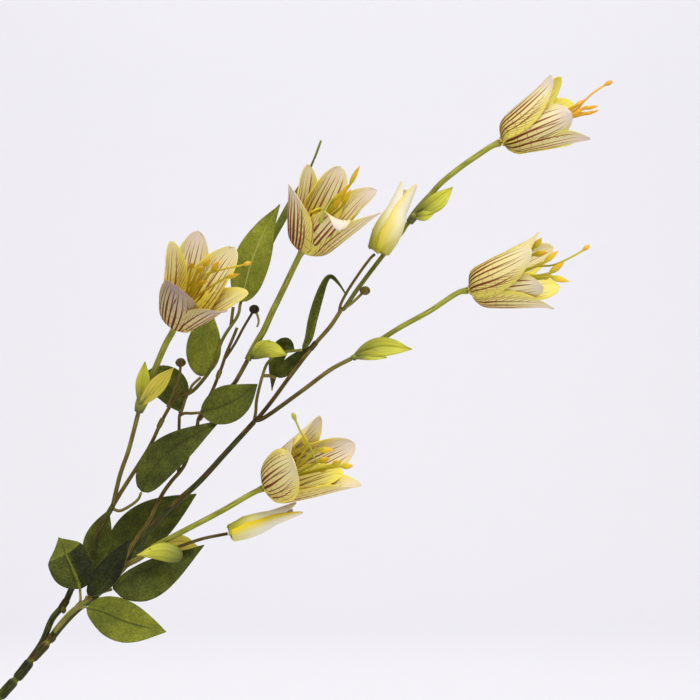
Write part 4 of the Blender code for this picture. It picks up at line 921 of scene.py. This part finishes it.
def make_vase():
    glaze = vase_glaze("Off-white stoneware glaze")
    foot = bare_stoneware("Unglazed stoneware foot")
    outside = [
        (VASE_BASE_RADIUS - 2, 0), (VASE_BASE_RADIUS, 2), (44.5, 24),
        (VASE_BELLY_RADIUS - 1, 54), (VASE_BELLY_RADIUS, VASE_BELLY_HEIGHT), (46, 120),
        (36, 152), (VASE_NECK_RADIUS + 1, 170), (VASE_NECK_RADIUS, VASE_NECK_HEIGHT),
        (VASE_NECK_RADIUS + 1, 190), (VASE_MOUTH_RADIUS, VASE_HEIGHT - 1.5)]
    inside = [
        (VASE_MOUTH_RADIUS - 1, VASE_HEIGHT), (VASE_MOUTH_RADIUS - VASE_WALL + 1.2, VASE_HEIGHT),
        (VASE_MOUTH_RADIUS - VASE_WALL, VASE_HEIGHT - 1.5), (VASE_NECK_RADIUS - VASE_WALL + 1, 190),
        (VASE_NECK_RADIUS - VASE_WALL, VASE_NECK_HEIGHT), (36 - VASE_WALL, 150),
        (46 - VASE_WALL, 118), (VASE_BELLY_RADIUS - VASE_WALL, VASE_BELLY_HEIGHT),
        (44 - VASE_WALL, 26), (31, VASE_FLOOR + 3), (26, VASE_FLOOR), (0, VASE_FLOOR)]
    wall = smooth_route([(radius, 0, height) for radius, height in outside[1:]], 3)
    lining = smooth_route([(radius, 0, height) for radius, height in inside[2:-1]], 3)
    profile = [point((0, 0, 0.8)), point((30, 0, 0.8)), point((31, 0, 0)), point((36, 0, 0)), *wall,
               point((VASE_MOUTH_RADIUS - 0.4, 0, VASE_HEIGHT - 0.5)),
               *[point((radius, 0, height)) for radius, height in inside[:2]], *lining,
               point((0, 0, VASE_FLOOR))]
    form = new_form()
    corners = [form.verts.new(spot) for spot in profile]
    edges = [form.edges.new(pair) for pair in zip(corners, corners[1:])]
    bmesh.ops.spin(form, geom=[*corners, *edges], cent=(0, 0, 0), axis=(0, 0, 1), angle=2 * math.pi,
                   steps=96, use_merge=True)
    bmesh.ops.remove_doubles(form, verts=form.verts, dist=0.001 * MM)
    bmesh.ops.recalc_face_normals(form, faces=form.faces)
    for face in form.faces:
        if face.calc_center_median().z < 0.0018:
            face.material_index = 1
    finish_piece("glazed_vase", form, [glaze, foot], "vase")


def make_stems(cover):
    """The covered wires, with a joint every so far on the foot, collars, a bump and three balls."""
    form = new_form()
    for number, (name, (first, last, places)) in enumerate(STEMS.items()):
        step = 0.9 if name in JOINTED else 1.6
        route = smooth_route(places, step)
        count = len(route) - 1
        radii = [first + (last - first) * index / count for index in range(count + 1)]
        tints = GREENS[name]
        if name in JOINTED:
            pinches = []
            for index in range(count + 1):
                along = index * step if name == "right_shoot" else (count - index) * step
                phase = along / JOINT_PITCH
                pinch = math.exp(-((phase - round(phase)) * JOINT_PITCH / 1.3) ** 2)
                pinches.append(pinch if along < JOINTED[name] else 0.0)
                radii[index] *= 1.16 - 0.42 * pinches[-1] if along < JOINTED[name] else 1.0

            def tints(t, name=name, pinches=pinches):
                return GREENS[name][0] + 0.35 * pinches[round(t * (len(pinches) - 1))]

        thick = first > 1.2
        add_tube(form, route, radii, 16 if thick else 10, tints, number * 3.7, 5 if thick else 4,
                 fresh=FRESHNESS.get(name, 0.2))
    for name, index, length in COLLARS:
        first, last, places = STEMS[name]
        middle = point(places[index])
        run = (point(places[min(index + 1, len(places) - 1)]) - point(places[index - 1])).normalized()
        radius = first + (last - first) * index / (len(places) - 1) + COLLAR_EXTRA
        reaches = (-0.5, -0.42, -0.2, 0.2, 0.42, 0.5)
        route = [middle + run * (length * MM * reach) for reach in reaches]
        green = GREENS[name][0] + 0.08
        radii = [radius * share for share in (0.8, 0.96, 1.0, 1.0, 0.96, 0.8)]
        add_tube(form, route, radii, 14, (green, green), index * 1.3, fresh=FRESHNESS.get(name, 0.2))
    for number, centre in enumerate(BALLS):
        add_ball(form, point(centre), (BALL_RADIUS, BALL_RADIUS, BALL_RADIUS * 0.85), BALL_GREENS[number],
                 number * 5.1)
    add_ball(form, point((98, 1.5, 317)), (1.7, 1.7, 2.2), 0.25, 4.4)
    finish_piece("covered_wire_stems", form, [cover], "stems")


def make_leaves():
    above = leaf_cloth("Green leaf cloth, upper side", False)
    below = leaf_cloth("Green leaf cloth, under side", True)
    for number, (leaf, tone) in enumerate(zip(LEAVES, LEAF_TONES_AND_SHADE), start=1):
        form = new_form()
        bend = leaf.pop("bend", None)
        # Leaf 2's tip setting lightens the leaf towards its tip: painted light.
        painted_tip_light = leaf.pop("painted_tip_light", 0.0)

        # Past leaf 1's bend the tone is raised, painted light where the tip turns up to the lamps; before it the
        # right half is lowered, painted shade.
        def tint(u, t, tone=tone, bend=bend, painted_tip_light=painted_tip_light):
            if bend and t > bend:
                return tone + 0.3
            return tone - 0.22 * min(max(u * 4, 0.0), 1.0) if bend else tone + painted_tip_light * (t - 0.4)

        add_surface(form, 28, 44, blade_shape(**leaf, seed=number * 2.3), tint, number * 1.7)
        if bend:
            raised = smooth_route([(x, y - 0.9, height) for x, y, height in leaf["rib"][:5]], 1.2)
            add_tube(form, raised, [0.85 - 0.4 * index / len(raised) for index in range(len(raised))], 8,
                     (0.55, 0.5))
        finish_piece(f"cloth_leaf_{number:02d}", form, [above, below], f"leaf_{number:02d}", LEAF_CLOTH)


def move_form(form, place):
    bmesh.ops.transform(form, matrix=place, verts=form.verts)


def make_bloom(number, bloom, cloth, plastic, cover):
    place = bloom_place(bloom["base"], bloom["rise"], bloom["forward"])
    form = new_form()
    core = [(0.8, -1.5), (2.6, -0.9), (3.2, 0.4), (2.6, 1.7), (0.8, 2.3)]
    add_tube(form, [point((0, 0, height)) for radius, height in core], [radius for radius, height in core], 20)
    for index, petal in enumerate(bloom["petals"]):
        turn, opening, length, width, outer, curl, fold, flush, bold = petal
        seed = number * 7.3 + index * 2.1
        shape = petal_shape(math.radians(turn), opening, length, width, 1.3 * (1 - outer), curl, fold, seed)

        def fan(u, t, wide=width / 26):
            return petal_fan(u, t) * wide

        add_surface(form, 30, 44, shape, flush, seed, fan, bold)
    move_form(form, place)
    finish_piece(f"veined_petals_{number}", form, cloth, f"petals_{number}", PETAL_CLOTH)

    form = new_form()
    warmth = STAMEN_WARMTH[number - 1]
    core_foot = RECEPTACLE_LIFT + RECEPTACLE_HALF_HEIGHT + TOUCH
    route = smooth_route([(0, 0, core_foot), (0, 0, 5), (0, 0, 8)], 1.5)
    add_tube(form, route, [1.4 - 0.3 * index / len(route) for index in range(len(route))], 12, (warmth, warmth))
    for foot, tip in bloom["anthers"]:
        x, y, height = foot
        bowed = (x * 0.45, y * 0.25, height * 0.5)
        route = smooth_route([(0, 0, 5), bowed, foot, tuple((a + b) / 2 for a, b in zip(foot, tip))], 1.6)
        add_tube(form, route, [FILAMENT_RADIUS] * len(route), 8, (warmth, warmth), x, end=0.6)
        spoon = [point(foot).lerp(point(tip), index / 10) for index in range(11)]
        girths = [ANTHER_GIRTH[number - 1] * girth
                  for girth in (0.5, 1.0, 1.5, 1.85, 2.0, 1.95, 1.75, 1.45, 1.05, 0.6, 0.12)]
        facing = Vector((1, 0.5 * math.sin(x * 3 + y), 0))
        add_tube(form, spoon, girths, 14, (warmth, warmth), y, flat=0.4, start=0.62, end=1.0, facing=facing)
    warmth = STYLE_WARMTH[number - 1]
    route = smooth_route([(0, 0, 5), *bloom["style"]], 1.6)
    add_tube(form, route, [0.6] * len(route), 8, (warmth, warmth), 1.0, end=0.7)
    run = (route[-1] - route[-2]).normalized()
    club = [route[-1] + run * (MM * (index * 0.75 - 3.5)) for index in range(8)]
    add_tube(form, club, [0.6, 0.8, 1.1, 1.35, 1.45, 1.3, 1.0, 0.5], 12, (warmth, warmth), 2.0, start=0.8)
    move_form(form, place)
    finish_piece(f"moulded_stamens_{number}", form, [plastic], f"stamens_{number}")

    form = new_form()
    first, last, places = bloom["pedicel"]
    foot = RECEPTACLE_HALF_HEIGHT - RECEPTACLE_LIFT + TOUCH
    ends = [place @ point((0, 0, -9)) / MM, place @ point((0, 0, -foot)) / MM]
    route = smooth_route([*places, *ends], 1.6)
    count = len(route) - 1
    radii = []
    for index in range(count + 1):
        left = (count - index) * 1.6
        swell = 0.5 * math.exp(-(left / 3.0) ** 2)
        radii.append(first + (last - first) * index / count + swell)
    add_tube(form, route, radii, 18, (0.6, 0.8), number * 2.9, 6, fresh=1.0)
    finish_piece(f"covered_pedicel_{number}", form, [cover], f"pedicel_{number}")


def make_bud(number, bud, cloth):
    """Three petals wrapped round each other, square at the foot and split at the tips."""
    place = bloom_place(bud["base"], bud["rise"], bud["forward"])
    length = bud["length"]
    radius = bud["radius"]
    form = new_form()
    route = [point((0, 0, length * (0.02 + 0.07 * index))) for index in range(11)]
    girths = [0.62, 0.72, 0.76, 0.78, 0.76, 0.7, 0.6, 0.5, 0.4, 0.28, 0.15]
    add_tube(form, route, [radius * girth for girth in girths], 20, (0.0, 0.0))
    for index, (turn, inward, spread, reach) in enumerate(BUD_PETALS):

        def shape(u, t, turn=math.radians(turn), inward=inward, spread=spread, reach=reach):
            out = radius * (0.78 + 0.22 * math.sin(math.pi * min(t / 0.6, 1.0)) - 0.3 * t ** 2) - inward
            out += spread * t ** 3
            taper = 1.0 if t < 0.25 else max(0.0, (1 - t) / 0.75) ** 0.6
            half = radius * (0.86 + 0.4 * min(t / 0.25, 1.0)) * taper + 0.2
            bend = max(out, half / 1.35)
            angle = u * half / bend
            corner = (0.035 if inward == 0.9 else -0.03) * length * u * u * max(0.0, 1 - t / 0.15)
            flare = (0.14 if inward == 0.9 else 0.03) * radius * abs(u) ** 3 * max(0.0, 1 - t / 0.12)
            spot = Vector((out - bend + (bend + flare) * math.cos(angle), (bend + flare) * math.sin(angle),
                           length * reach * t - corner + 0.03 * length))
            return Matrix.Rotation(turn + 0.12 * t, 3, "Z") @ spot * MM

        add_surface(form, 30, 44, shape, bud["flush"] if index == 0 else 0.0, index * 2.7 + number)
    move_form(form, place)
    finish_piece(f"closed_bud_{number}", form, [cloth], f"bud_{number}", PETAL_CLOTH)


def make_bract(number, bract, cloth):
    form = new_form()
    warmth = BRACT_WARMTH[number - 1]
    # The knob reads only the dark low end of the colour ramp: painted shade at the bract's foot.
    add_ball(form, point(bract["knob"]), [BRACT_KNOB_RADIUS] * 3, warmth[0], number, end=0.3)
    sheath = bract.get("sheath")
    if sheath:
        route = smooth_route(sheath, 1.2)
        count = len(route) - 1
        radii = [1.7 + bract["flare"] * math.sin(math.pi * min(1.0, 0.1 + 0.7 * index / count))
                 for index in range(count + 1)]
        # The sheath reads only the lower end of the ramp, as far as its shade value: painted shade.
        add_tube(form, route, radii, 18, (warmth[0], warmth[0]), number * 1.9, 7, end=bract["sheath_shade"])
    for index, blade in enumerate(bract["blades"]):
        blade = dict(dict(widest=0.5, tip=1.1, fold=16 if not blade.get("bow") else 0, wave=0.3), **blade)
        shape = blade_shape(**blade, seed=number + index * 0.7)
        add_surface(form, 20, 26, shape, warmth[index], number * 2.1 + index)
    finish_piece(f"pleated_bract_{number}", form, [cloth], f"bract_{number}", LEAF_CLOTH)


def make_stage():
    """A pale sweep: a floor that curves up into a wall far behind the vase."""
    form = new_form()
    corners = [form.verts.new((-7, y, z)) for y, z in ((-7, -0.0005), (4.6, -0.0005))]
    for step in range(1, 13):
        turn = step / 12 * math.pi / 2
        corners.append(form.verts.new((-7, 4.6 + math.sin(turn), 1 - math.cos(turn))))
    corners.append(form.verts.new((-7, 5.6, 6)))
    edges = [form.edges.new(pair) for pair in zip(corners, corners[1:])]
    swept = bmesh.ops.extrude_edge_only(form, edges=edges)
    bmesh.ops.translate(form, vec=(14, 0, 0), verts=[
        item for item in swept["geom"] if isinstance(item, bmesh.types.BMVert)])
    bmesh.ops.recalc_face_normals(form, faces=form.faces)
    mesh = bpy.data.meshes.new("pale_sweep")
    form.to_mesh(mesh)
    form.free()
    mesh.shade_smooth()
    sweep = bpy.data.objects.new("pale_sweep", mesh)
    bpy.context.scene.collection.objects.link(sweep)
    paper = new_material("Matt pale backdrop paper", "#f1f0f5", 0.95)[0]
    mesh.materials.append(paper)
    sweep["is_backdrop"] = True


def make_light(name, place, aim, size, power, colour=(1, 1, 1)):
    lamp = bpy.data.lights.new(name, "AREA")
    lamp.energy = power
    lamp.size = size
    lamp.color = colour
    holder = bpy.data.objects.new(name, lamp)
    bpy.context.scene.collection.objects.link(holder)
    holder.location = place
    holder.rotation_euler = (Vector(aim) - Vector(place)).to_track_quat("-Z", "Y").to_euler()


def make_studio():
    scene = bpy.context.scene
    view = bpy.data.cameras.new("photo_camera")
    view.sensor_width = 36
    view.lens = 36 * 2500 / 420
    view.clip_end = 30
    camera = bpy.data.objects.new("photo_camera", view)
    camera.location = (0.270, -2.5, 0.473)
    camera.rotation_euler = (math.pi / 2, 0, 0)
    scene.collection.objects.link(camera)
    scene.camera = camera
    make_light("key", (0.9, -1.5, 2.1), (0.25, 0, 0.45), 1.0, 37)
    make_light("top", (-0.6, -1.0, 2.2), (0.25, 0, 0.45), 1.4, 12)
    make_light("wall", (0.3, 3.1, 2.9), (0.3, 5.4, 0.3), 3.0, 52)
    world = bpy.data.worlds.new("Soft studio")
    scene.world = world
    world.use_nodes = True
    sky = world.node_tree.nodes["Background"]
    sky.inputs["Color"].default_value = (1.0, 0.99, 0.98, 1)
    sky.inputs["Strength"].default_value = 0.48
    scene.view_settings.view_transform = "Standard"


random.seed(11)
make_studio()
make_stage()
make_vase()
make_stems(wire_cover("Brown and olive covered wire", 0.5))
make_leaves()
petal_sides = [petal_cloth("Veined petal cloth, outer side", False), petal_cloth("Veined petal cloth, inner side", True)]
stamens = stamen_plastic("Moulded stamen plastic")
pedicel_cover = wire_cover("Yellow-green covered wire", 0.45)
for number, bloom in enumerate(BLOOMS, start=1):
    make_bloom(number, bloom, petal_sides, stamens, pedicel_cover)
bud_side = bud_cloth("Pale yellow bud cloth")
for number, bud in enumerate(BUDS, start=1):
    make_bud(number, bud, bud_side)
lime = bract_cloth("Lime bract cloth")
for number, bract in enumerate(BRACTS, start=1):
    make_bract(number, bract, lime)

boxes = {"cad": CAD_BOX, "visual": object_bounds()}
{name: [list(corner) for corner in box] for name, box in boxes.items()}
